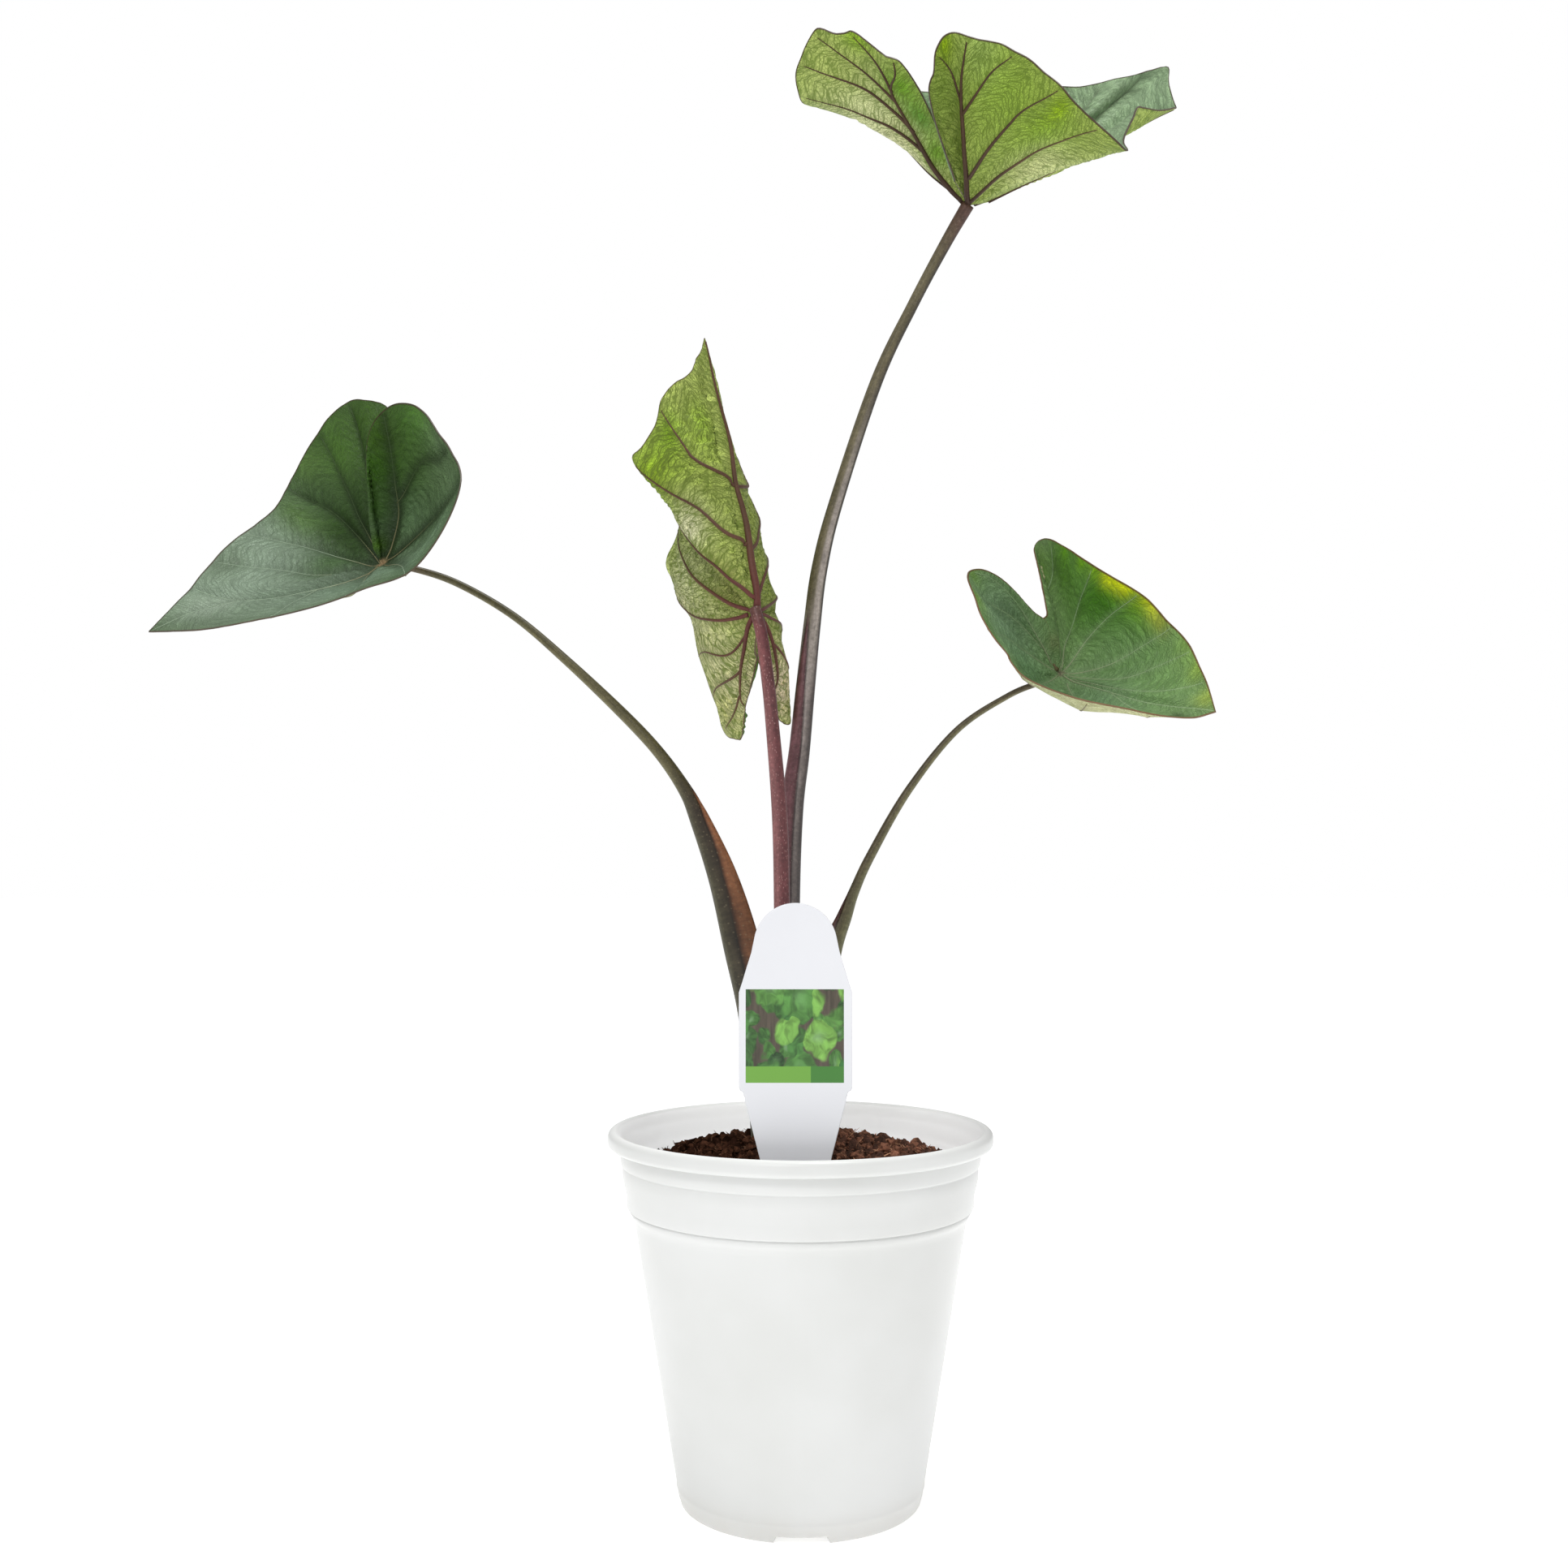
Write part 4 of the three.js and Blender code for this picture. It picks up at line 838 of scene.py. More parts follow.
def vein_tubes(name, blade, material, tones, side, scale, lift, sides=10):
    """Ribs on one side of the blade: tapering rounded ridges, sunk in it by a part of their depth."""
    points = []
    faces = []
    colours = []
    near_tip, near_hub, on_lobes = (linear(*tone) for tone in tones)
    turn = np.linspace(0, 2 * np.pi, sides, endpoint=False)
    for course, half in blade.veins:
        spots, under, thick = blade.sample(course)
        along = unit(np.gradient(spots, axis=0))
        across = unit(np.cross(along, under))
        out = unit(np.cross(across, along))
        radius = np.maximum(half * scale, 0.12)
        centre = spots + out * (side * (thick + radius * lift))[:, None]
        ring = across[:, None] * np.cos(turn)[None, :, None]
        ring = ring + side * out[:, None] * np.sin(turn)[None, :, None]
        faces.extend(ring_faces(len(course), sides, sum(len(part) for part in points)))
        points.append((centre[:, None] + ring * radius[:, None, None]).reshape(-1, 3))
        turned = np.abs(np.degrees(np.arctan2(course[:, 1], course[:, 0])))
        lobe = smooth(55, 95, turned)[:, None]
        far = smooth(0, 30, np.linalg.norm(course, axis=1))[:, None]
        tone = blend(near_hub, blend(near_tip, on_lobes, lobe), far)
        colours.append(np.repeat(tone, sides, 0))
    piece = make_piece(name, np.vstack(points), faces, [material])
    paint(piece, "tint", np.vstack(colours))


RIB_TONES = {
    "left": ((100, 92, 60), (84, 74, 48), (100, 92, 60)),
    "right": ((108, 100, 66), (92, 84, 56), (108, 100, 66)),
    "tall": ((84, 66, 46), (58, 42, 34), (70, 52, 38)),
    "middle": ((82, 58, 44), (90, 50, 46), (88, 64, 46)),
}
# Tones of the veins on the upper side near the tip, near the hub and on the lobes. The left leaf's dark tone
# on the lobes is painted shade of the valleys the veins lie in.
UPPER_VEIN_TONES = {
    "left": ((142, 160, 136), (122, 116, 84), (58, 76, 44)),
    "right": ((142, 164, 124), (132, 138, 108), (124, 150, 108)),
    "tall": ((110, 124, 96), (110, 118, 90), (100, 112, 84)),
    "middle": ((128, 148, 94), (120, 142, 88), (128, 148, 94)),
}
NET_TONES = {
    "left": ((110, 112, 70), (40, 60, 28)),
    "right": ((112, 114, 72), (62, 92, 44)),
    "tall": ((78, 100, 28), (70, 92, 66)),
    "middle": ((92, 108, 42), (80, 104, 56)),
}
MARGIN_TONES = {
    "left": (60, 50, 34),
    "right": (98, 72, 44),
    "tall": (62, 46, 34),
    "middle": (82, 64, 42),
}
# Share of the net's colour and depth of the streaks, of the underside and of the upper side
FACE_CONTRAST = {
    "left": ((0.6, 0.12), (0.3, 0.17)),
    "right": ((0.6, 0.12), (0.34, 0.19)),
    "tall": ((0.75, 0.12), (0.4, 0.26)),
    "middle": ((0.9, 0.2), (0.3, 0.14)),
}


def make_leaf(key, seed):
    name = "leaf_" + key
    blade = Blade(LEAVES[key], seed)
    under, upper = zip(NET_TONES[key], FACE_CONTRAST[key])
    margin = linear(*MARGIN_TONES[key])
    materials = [
        leaf_face(name + "_underside", *under, 0.55, 0.1, 0.5, 1.0, margin),
        leaf_face(name + "_upperside", *upper, 0.45, 0.12, 0.6, -0.8, margin),
        margin_material(name + "_margin", margin, margin * 1.4),
    ]
    leaf_plate(name, blade, materials)
    ribs = rib_material(name + "_rib")
    veins = rib_material(name + "_vein")
    vein_tubes(name + "_ribs", blade, ribs, RIB_TONES[key], 1, 0.85, 0.1)
    vein_tubes(name + "_upper_veins", blade, veins, UPPER_VEIN_TONES[key], -1, 0.32, -0.4, 8)


# Stalks. A row is [x, y, z, radius, sheath]: the centre line from the foot to the blade, the radius,
# and how far the sheath stands out on the inner side, to which "inner" points. The opening is (height,
# half its angle). The tones are those of the outer side, the inner side and the sheath, and upper is
# (height where they start to change, height where they have changed, outer tone, inner tone). The
# outer and inner tones are partly the stalk's own colours and partly painted light and shade, one side
# painted lighter and the other darker. The blend is where the outer tone becomes the inner one, from -1
# to 1 around the stalk. The sheath's painted light is a factor at its foot and at its top, painted shade
# below and painted light above, the painted highlight is (direction, tone, heights where it comes,
# heights where it goes), and the specks are (tone, share).
STALKS = {}
STALKS["left"] = {
    "inner": (1, -0.45, 0),
    "rows": [
        [-10.5, 1, 82, 3.2, 0.5], [-11, 1, 104, 3.6, 1], [-13, 1, 124, 3.3, 3], [-16, 1, 144, 3, 5],
        [-20, 1, 161, 2.8, 6.4], [-25, 2, 182, 2.5, 4.6], [-31, 3, 200, 2.2, 2], [-34.7, 3, 209, 2, 0.4],
        [-42.2, 4, 220, 1.8, 0], [-53, 6, 231.7, 1.7, 0], [-71.3, 8, 249, 1.4, 0],
        [-87.8, 10, 262.9, 1.2, 0], [-105, 10, 272.9, 1.1, 0], [-118, 7, 277, 1, 0], [-127, 2, 277.5, 1, 0],
    ],
    "opening": [(95, 55), (124, 64), (161, 66), (182, 58), (200, 36), (210, 0)],
    "sheath_painted_light": (0.55, 1.35),
    "tones": ((72, 69, 51), (46, 37, 27), (112, 72, 46)),
    "upper": (200, 222, (98, 93, 64), (74, 69, 44)),
    "specks": ((128, 118, 92), 0.25),
}
STALKS["right"] = {
    "inner": (-1, -0.2, 0),
    "rows": [
        [5, -1, 82, 2.8, 0.4], [5, -1, 104, 3, 0.8], [6, -1, 125, 2.6, 1.4], [7.8, -1, 145, 2.3, 2],
        [10.4, -1, 161, 2, 2.2], [13.6, 0, 171, 1.8, 1], [16.3, 0, 179, 1.5, 0.2], [21.2, 1, 189.6, 1.4, 0],
        [32.6, 3, 209.1, 1.2, 0], [47.6, 6, 227.5, 1, 0], [63.2, 7, 238, 0.9, 0], [72.7, 5, 242, 0.9, 0],
        [78, 0, 244.2, 0.9, 0],
    ],
    "opening": [(95, 50), (145, 54), (164, 50), (173, 30), (180, 0)],
    "tones": ((94, 92, 64), (74, 68, 48), (70, 42, 36)),
    "upper": (176, 190, (98, 94, 66), (72, 64, 46)),
    "specks": ((128, 122, 96), 0.25),
}
STALKS["tall"] = {
    "inner": (-0.7, -1, 0),
    "rows": [
        [-2.5, 6, 82, 3.6, 0.4], [-3, 6, 104, 3.8, 0.8], [-3.4, 6, 140, 3.6, 1.4], [-3.4, 7, 175, 3.4, 1.8],
        [-2.2, 8, 203, 3.2, 1.6], [0, 10, 221, 3, 1.4], [1.8, 11, 240, 2.8, 1], [3.8, 12, 260, 2.6, 0.4],
        [6.1, 12, 278, 2.5, 0], [11.1, 11, 298, 2.2, 0], [23.6, 9, 335.3, 1.9, 0], [34.7, 6, 358.3, 1.7, 0],
        [44.4, 3, 376.1, 1.8, 0], [51, 0, 387, 2, 0],
    ],
    "opening": [(95, 52), (205, 52), (230, 42), (250, 25), (267, 0)],
    "tones": ((54, 46, 44), (150, 140, 136), (102, 68, 72)),
    "upper": (248, 272, (46, 40, 31), (92, 85, 63)),
    "painted_highlight": ((0.43, -0.9, 0), (150, 141, 134), (235, 262), (285, 345)),
    "blend": (-0.15, 0.95),
    "specks": ((140, 128, 118), 0.25),
}
STALKS["middle"] = {
    "inner": (1, -0.2, 0),
    "rows": [
        [-4.5, -6, 82, 2.6, 0], [-4.6, -6, 104, 2.8, 0], [-5.2, -5.8, 142, 2.6, 0],
        [-5.5, -5.6, 176, 2.4, 0], [-6.2, -7.6, 202, 2.3, 0], [-8.3, -11, 228, 2, 0],
        [-9.6, -14, 241, 1.9, 0], [-11.4, -16, 254, 1.8, 0], [-13.4, -14.6, 262, 1.7, 0],
    ],
    "opening": [(95, 0), (260, 0)],
    "tones": ((124, 80, 80), (90, 49, 51), (108, 64, 66)),
    "upper": (210, 250, (110, 64, 64), (82, 44, 46)),
    "specks": ((176, 136, 132), 0.5),
}


def stalk_material(name, speck_tone, speck_share):
    """Smooth stalk skin: painted tint with its painted light and shade, long fine streaks and small pale
    specks.
    """
    shader = Shader(name, 0.42, Specular_IOR_Level=0.3)
    place = shader.attribute("along")
    streaks = shader.noise(shader.stretch(place, (1, 1, 0.05)), 1300, 3, 0.6)
    tint = shader.scaled(shader.attribute("tint", "Color"), 0.82, 1.18, streaks)
    tint = shader.scaled(tint, 0.85, 1.15, shader.noise(place, 160, 4, 0.6))
    tint = shader.scaled(tint, 0.74, 1.3, shader.noise(place, 900, 4, 0.7))
    specks = shader.cells(shader.stretch(place, (1, 1, 0.5)), 1700, "F1")
    dots = shader.between(specks, 0.1, 0.3, speck_share, 0)
    shader.colour(shader.mix(dots, tint, linear(*speck_tone)))
    shader.bump(streaks, 0.0001, 0.5)
    return shader.material


def stalk_tint(stalk, row, place, facing, outwards, slit, flap):
    """Painted colour of the stalk: outer and inner side, one painted lighter and one darker, a painted
    highlight, the sheath with painted shade and light, painted shade in the slit, and a dark top.
    """
    outside, inside, sheath_tone = (linear(*tone) for tone in stalk["tones"])
    low, high, upper_outside, upper_inside = stalk["upper"]
    raised = smooth(low, high, row[:, 2])[:, None, None]
    outside = blend(outside, linear(*upper_outside), raised)
    inside = blend(inside, linear(*upper_inside), raised)
    # Outer and inner tone around the stalk: its own colours, with one side painted lighter and the other
    # darker as painted light and shade.
    colour = blend(outside, inside, smooth(*stalk.get("blend", (-0.6, 0.6)), facing)[None, :, None])
    # Painted highlight: a pale band along the side turned towards the light, over part of the stalk's height.
    if "painted_highlight" in stalk:
        towards, painted_highlight_tone, rising, falling = stalk["painted_highlight"]
        painted_highlight = smooth(0.83, 0.99, outwards @ unit(np.array(towards)))
        reach = smooth(*rising, row[:, 2]) * smooth(*falling[::-1], row[:, 2])
        colour = blend(colour, linear(*painted_highlight_tone), (painted_highlight * reach[:, None])[..., None])
    # Sheath tone, with painted shade towards its foot and painted light towards its top.
    darkest, lightest = stalk.get("sheath_painted_light", (1, 1))
    light = darkest + (lightest - darkest) * smooth(*SHEATH_RISE, row[:, 2])
    colour = blend(colour, sheath_tone * light[:, None, None], flap[..., None])
    # Painted shade in the slit.
    colour = colour * (1 - 0.75 * slit[..., None])
    return blend(colour, linear(*STALK_TOP), smooth(0.88, 0.99, place)[:, None, None] * 0.85)


def stalk_course(rows, place, inner):
    """Directions towards the inner side and sideways, square to the stalk's course."""
    after = catmull(rows, np.minimum(1, place + 0.01))
    before = catmull(rows, np.maximum(0, place - 0.01))
    course = unit(after[:, :3] - before[:, :3])
    course[0] = (0, 0, 1)
    sideways = unit(np.cross(course, np.array(inner, float)))
    return unit(np.cross(sideways, course)), sideways


def make_stalk(key):
    """Stalk swept along its centre line, with the sheath as a ridge on the inner side."""
    stalk = STALKS[key]
    rows = np.array(stalk["rows"], float)
    place = np.linspace(0, 1, STALK_STEPS + 1)
    row = catmull(rows, place)
    inwards, sideways = stalk_course(rows, place, stalk["inner"])
    turn = np.linspace(0, 2 * np.pi, STALK_SIDES, endpoint=False)
    facing, aside = np.cos(turn), np.sin(turn)
    radius = row[:, 3][:, None]
    sheath = np.maximum(row[:, 4], 0)
    apart = np.abs(np.degrees((turn + np.pi) % (2 * np.pi) - np.pi))[None]
    heights, angles = np.array(stalk["opening"], float).T
    opening = np.interp(row[:, 2], heights, angles)[:, None]
    is_open = smooth(0, 14, opening)
    slit = np.exp(-(((apart - opening) / SLIT_TURN) ** 2)) * is_open
    flap = smooth(3, -3, apart - opening) * is_open
    reach = radius + np.where(facing > 0, sheath[:, None], 0) - SLIT_DEPTH * slit
    inner_part = (reach * facing[None])[..., None] * inwards[:, None]
    side_part = (radius * aside[None])[..., None] * sideways[:, None]
    points = (row[:, None, :3] + inner_part + side_part).reshape(-1, 3)
    name = "stalk_" + key
    material = stalk_material(name + "_skin", *stalk["specks"])
    piece = make_piece(name + "_skin", points, ring_faces(STALK_STEPS + 1, STALK_SIDES), [material])
    outwards = facing[None, :, None] * inwards[:, None] + aside[None, :, None] * sideways[:, None]
    paint(piece, "tint", stalk_tint(stalk, row, place, facing, outwards, slit, flap).reshape(-1, 3))
    length = np.concatenate([[0], np.cumsum(np.linalg.norm(np.diff(row[:, :3], axis=0), axis=1))])
    along = np.repeat(length[:, None], STALK_SIDES, 1)
    skin = np.stack([radius * facing[None], radius * aside[None], along], -1)
    keep_vectors(piece, "along", skin.reshape(-1, 3) * MM)
    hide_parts(name)


# Pot
def wall_radius(height):
    return BASE_RADIUS + WALL_TAPER * height


def inner_radius(height):
    step = STEP_DEPTH * np.clip((height - STEP_HEIGHT) / STEP_RISE, 0, 1)
    return wall_radius(height) + step - WALL


def arc(centre, radius, start, end, count):
    turn = np.radians(np.linspace(start, end, count))
    return [(centre[0] + radius * math.cos(angle), centre[1] + radius * math.sin(angle)) for angle in turn]


def pot_profile():
    """Outline of the wall from the foot, over the lip, to the middle of the floor inside."""
    collar = STEP_HEIGHT + STEP_RISE
    neck = wall_radius(NECK_HEIGHT) + STEP_DEPTH * 0.6
    seam = 5.2
    outside = arc((BASE_RADIUS - 1.2, 1.2), 1.2, -90, -8, 6)
    outside += [(wall_radius(h), h) for h in (2.4, seam - 0.5)]
    outside += [(wall_radius(seam) + 0.16, seam), (wall_radius(seam + 0.5), seam + 0.5)]
    outside += [(wall_radius(h), h) for h in np.linspace(8, STEP_HEIGHT - 1.2, 14)]
    outside += [(wall_radius(STEP_HEIGHT) + 0.1, STEP_HEIGHT + 0.3), (wall_radius(84) + 0.6, 84)]
    outside += [(wall_radius(collar) + 0.95, collar - 1.0), (wall_radius(collar) + 0.65, collar - 0.65)]
    outside += [(wall_radius(collar) + 0.9, collar - 0.3), (wall_radius(collar) + 1.45, collar - 0.2)]
    outside += [(wall_radius(collar) + STEP_DEPTH, collar), (wall_radius(collar) + STEP_DEPTH + 0.1, 90)]
    outside += [(neck - 0.1, 95), (neck, 98.2), (neck - 0.12, 98.6), (neck + 0.3, 98.8), (neck + 0.45, 99.2)]
    outside += [(neck + 0.6, 101), (neck + 0.65, LIP_FOOT), (neck + 0.5, LIP_FOOT + 0.6)]
    outside += [(neck + 0.65, LIP_FOOT + 0.9), (LIP_RADIUS - 1.7, LIP_FOOT + 0.75)]
    outside += arc((LIP_RADIUS - 1.5, LIP_FOOT + 2.2), 1.5, -75, 0, 6)
    outside += [(LIP_RADIUS, LIP_FOOT + 3.2), (LIP_RADIUS, LIP_TOP - 2.2)]
    outside += arc((LIP_RADIUS - 1.9, LIP_TOP - 1.9), 1.9, 10, 90, 8)
    inside = []
    for angle in np.radians([12, 25, 38, 51, 64, 77, 90]):
        inside.append((LIP_RADIUS - 1.9 - 3.0 * math.sin(angle), LIP_TOP - 6 + 6 * math.cos(angle)))
    inside += [(inner_radius(NECK_HEIGHT) + 0.1, 101), (inner_radius(NECK_HEIGHT) - 0.1, NECK_HEIGHT - 2)]
    inside += [(inner_radius(collar), collar), (inner_radius(STEP_HEIGHT), STEP_HEIGHT)]
    inside += [(inner_radius(h), h) for h in np.linspace(70, FLOOR + 1.5, 4)]
    inside += [(inner_radius(FLOOR) - 1.5, FLOOR), (0.01, FLOOR)]
    return np.array([(0.01, 0), (20, 0), (24, 0), (30, 0), *outside, *inside])


def make_pot():
    """Pot turned from its profile, with four notches raised in the foot and a faint mould line."""
    profile = pot_profile()
    turn = np.linspace(0, 2 * np.pi, POT_SIDES, endpoint=False)
    radius = np.repeat(profile[:, 0][:, None], POT_SIDES, 1)
    height = np.repeat(profile[:, 1][:, None], POT_SIDES, 1)
    outer_rows = len(profile) - INSIDE_ROWS
    rows = np.arange(len(profile))[:, None]
    mould = np.exp(-((np.sin(turn - 1.5 * np.pi) * 55 / 0.5) ** 2)) * (np.cos(turn - 1.5 * np.pi) > 0)
    radius = radius + 0.1 * mould[None] * ((rows > 4) & (rows < outer_rows))
    x = np.cos(turn)[None] * radius
    y = np.sin(turn)[None] * radius
    across = np.minimum(np.abs(x), np.abs(y))
    in_notch = (across < NOTCH_WIDTH / 2) & (radius > 23.9) & (height < NOTCH_HEIGHT) & (rows < outer_rows)
    height = np.where(in_notch, NOTCH_HEIGHT + 0.02 * height, height)
    points = np.stack([x, y, height], -1).reshape(-1, 3)
    faces = ring_faces(len(profile), POT_SIDES)
    materials = [pot_material("pot_plastic", 0.3, 0.001), pot_material("pot_plastic_inside", 1.0, 0.012)]
    kinds = np.append(np.repeat(np.arange(len(profile) - 1) >= outer_rows, POT_SIDES), [False, True])
    piece = make_piece("pot_shell", points, faces, materials, kinds)
    # Mask of the inner wall, where the plastic is painted paler as painted light.
    inside = np.repeat(smooth(outer_rows - 8, outer_rows, np.arange(len(profile))), POT_SIDES)
    keep_vectors(piece, "inside", np.repeat(inside[:, None], 3, 1))
    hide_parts("pot")


def pot_material(name, glow, reach):
    """White moulded plastic: nearly even, with soft mottling, faint scuffs, dust on the foot, and the inner
    wall painted paler as painted light.
    """
    scatter = {"Subsurface_Weight": glow, "Subsurface_Radius": (1, 1, 1), "Subsurface_Scale": reach}
    shader = Shader(name, 0.32, Specular_IOR_Level=0.35, **scatter)
    place = shader.place()
    cloud = shader.noise(place, 22)
    tint = shader.mix(shader.between(cloud, 0.3, 0.7), linear(208, 209, 207), linear(214, 215, 214))
    # The inner wall painted near white: painted light, paler than the same plastic outside.
    tint = shader.mix(shader.separate(shader.attribute("inside"), 0), tint, linear(250, 251, 250))
    scuffs = shader.noise(shader.stretch(place, (1, 1, 0.25)), 160, 6, 0.7, 1.5)
    tint = shader.mix(shader.between(scuffs, 0.66, 0.78, 0, 0.25), tint, linear(214, 214, 208))
    foot = shader.between(shader.separate(place, 2), 0, 0.012, 0.35, 0)
    dust = shader.math("MULTIPLY", foot, shader.noise(place, 120, 4))
    shader.colour(shader.mix(dust, tint, linear(200, 192, 180)))
    shader.rough(shader.between(cloud, 0.3, 0.7, 0.28, 0.38))
    shader.bump(shader.noise(place, 700), 0.00004, 0.4)
    return shader.material


# Soil
def soil_material(name, dark, light):
    """Peat: dark and light crumb, warmer and paler on the right, with brown flecks."""
    dark, light = linear(*dark), linear(*light)
    shader = Shader(name, 0.95, Specular_IOR_Level=0.0)
    place = shader.place()
    chunks = shader.noise(place, 420, 5, 0.7)
    share = shader.between(chunks, 0.32, 0.68)
    warm = shader.mix(share, dark * 5.5 + 0.012, light * 4 + 0.02)
    side = shader.between(shader.separate(place, 0), -0.02, 0.03)
    tint = shader.mix(side, shader.mix(share, dark, light), warm)
    flecks = shader.between(shader.cells(place, 900, "F1"), 0.08, 0.2, 0.5, 0)
    shader.colour(shader.mix(flecks, tint, linear(120, 92, 74)))
    shader.bump(chunks, 0.0012)
    return shader.material


def soil_height(x, y):
    """Height of the mound, which leans a little."""
    share = np.hypot(x, y) / inner_radius(SOIL_EDGE)
    mound = SOIL_MOUND * (1 - share**2)
    lean = 1.2 * np.sin(x * 0.11 + 1.3) * np.cos(y * 0.09) * (1 - share)
    return SOIL_EDGE + mound + lean


def lumps(x, y, rng, count=26):
    """Seeded unevenness from a sum of waves of many lengths."""
    total = np.zeros_like(x)
    for _ in range(count):
        length = rng.uniform(2.2, 9)
        angle = rng.uniform(0, 2 * np.pi)
        phase = rng.uniform(0, 2 * np.pi)
        wave = np.sin((x * np.cos(angle) + y * np.sin(angle)) * 2 * np.pi / length + phase)
        total += wave * length * 0.05
    return total


def make_soil(rng):
    """Soil as a closed solid: its wall in the pot, and a mounded and uneven top."""
    turn = np.linspace(0, 2 * np.pi, SOIL_SIDES, endpoint=False)
    floor = FLOOR + 0.4
    levels = [(inner_radius(FLOOR) - 2.2, floor)]
    for height in (5.6, 40, STEP_HEIGHT, STEP_HEIGHT + STEP_RISE, 92):
        levels.append((inner_radius(height) - 0.35, height))
    side_rings = [circle(turn, radius, height) for radius, height in levels]
    top_rings = []
    for share in np.linspace(1, 0.012, SOIL_RINGS):
        radius = (inner_radius(SOIL_EDGE) - 0.3) * share
        x, y = np.cos(turn) * radius, np.sin(turn) * radius
        top_rings.append(np.stack([x, y, soil_height(x, y)], -1))
    top = np.array(top_rings)
    uneven = lumps(top[..., 0], top[..., 1], rng)
    top[..., 2] += np.clip(uneven * 1.6, -1.6, 3)
    points = np.vstack([np.array(side_rings).reshape(-1, 3), top.reshape(-1, 3)])
    faces = ring_faces(len(levels) + SOIL_RINGS, SOIL_SIDES)
    material = soil_material("soil_peat", (22, 13, 9), (58, 36, 27))
    piece = make_piece("soil_bed", points, faces, [material])
    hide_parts("soil")


def crumb_shape(rng, size):
    """A small angular lump: a squashed, knobbly ball of few faces."""
    turn = np.linspace(0, 2 * np.pi, 6, endpoint=False)
    rings = []
    for tilt in (-60, -5, 50):
        radius = math.cos(math.radians(tilt)) * rng.uniform(0.7, 1.15, 6)
        height = math.sin(math.radians(tilt)) * rng.uniform(0.5, 1.3, 6)
        rings.append(circle(turn, radius, height))
    points = np.array(rings).reshape(-1, 3) * size * np.array([1, rng.uniform(0.5, 1), rng.uniform(0.4, 0.9)])
    spin = rng.uniform(0, 2 * np.pi)
    tilt = rng.uniform(-0.8, 0.8)
    about_z = np.array([[math.cos(spin), -math.sin(spin), 0], [math.sin(spin), math.cos(spin), 0], [0, 0, 1]])
    about_x = np.array([[1, 0, 0], [0, math.cos(tilt), -math.sin(tilt)], [0, math.sin(tilt), math.cos(tilt)]])
    return points @ (about_z @ about_x).T


def ground_spot(rng):
    """Random place on the soil, clear of the wall and of the tag."""
    while True:
        radius = (inner_radius(SOIL_EDGE) - 1.6) * math.sqrt(rng.uniform(0, 1))
        turn = rng.uniform(0, 2 * math.pi)
        x, y = radius * math.cos(turn), radius * math.sin(turn)
        if abs(x - TAG_CENTRE) > TAG_CLEAR[0] or abs(y - TAG_Y) > TAG_CLEAR[1]:
            return x, y, float(soil_height(x, y))


def make_crumbs(rng):
    """Loose crumbs that lie half sunk in the soil."""
    points = []
    faces = []
    for count in range(CRUMBS):
        x, y, z = ground_spot(rng)
        size = min(2.6, rng.exponential(0.55) + 0.3)
        points.append(crumb_shape(rng, size) + (x, y, z + 0.5 + size * 0.45))
        faces.extend(ring_faces(3, 6, count * 18))
    material = soil_material("soil_crumbs_peat", (24, 14, 9), (92, 60, 45))
    make_piece("soil_crumbs", np.vstack(points), faces, [material], flat_shaded=True)


def make_fibres(rng):
    """Short bent fibres and chips of bark on the soil."""
    points = []
    faces = []
    sides = 4
    turn = np.linspace(0, 2 * np.pi, sides, endpoint=False)
    for count in range(FIBRES):
        x, y, z = ground_spot(rng)
        length, bend = rng.uniform(1.6, 6), rng.uniform(-1.4, 1.4)
        heading, rise = rng.uniform(0, 2 * np.pi), rng.uniform(-0.2, 1)
        steps = np.linspace(-0.5, 0.5, 5)
        ahead, aside = steps * length, bend * (steps**2 - 0.25)
        turned_x = ahead * math.cos(heading) - aside * math.sin(heading)
        turned_y = ahead * math.sin(heading) + aside * math.cos(heading)
        limit = inner_radius(SOIL_EDGE) - 0.8
        centre = np.stack([turned_x, turned_y, rise * steps * length], -1) + (x, y, z + 0.9)
        reach = np.hypot(centre[:, 0], centre[:, 1])
        centre[:, :2] *= np.minimum(1, limit / reach)[:, None]
        radius = rng.uniform(0.12, 0.3) * np.array([0.4, 1, 1, 0.9, 0.3])
        across = np.array([-math.sin(heading), math.cos(heading), 0])
        ring = across * np.cos(turn)[:, None] + np.array([0, 0, 1]) * np.sin(turn)[:, None]
        points.append((centre[:, None] + ring[None] * radius[:, None, None]).reshape(-1, 3))
        faces.extend(ring_faces(5, sides, count * 5 * sides))
    material = soil_material("soil_fibre", (58, 38, 29), (132, 98, 76))
    make_piece("soil_fibres", np.vstack(points), faces, [material])


# Tag
def tag_outline():
    """Half outline of the tag from its tip to the top of its dome, as (half width, height)."""
    dome_radius, dome_height = 11.5, 165.2
    stake = [(0.9, 77), (4.2, 88), (8.6, 102), (13.9, 122.4), (14.0, 123.4)]
    nick = arc((15.3, 124.2), 1.0, 190, 95, 5)
    shoulder = arc((14.5, 126.2), 1.1, -40, 0, 4)
    side = [(15.6, 130), (15.6, 151.6)]
    corner = arc((15.0, 152.0), 0.6, 0, 20, 4)
    slope = [(14.6, 155.2), (13.4, 159.2), (12.2, 163)]
    dome = arc((0, dome_height), dome_radius, 11, 90, 22)
    return stake + nick + shoulder + side + corner + slope + dome


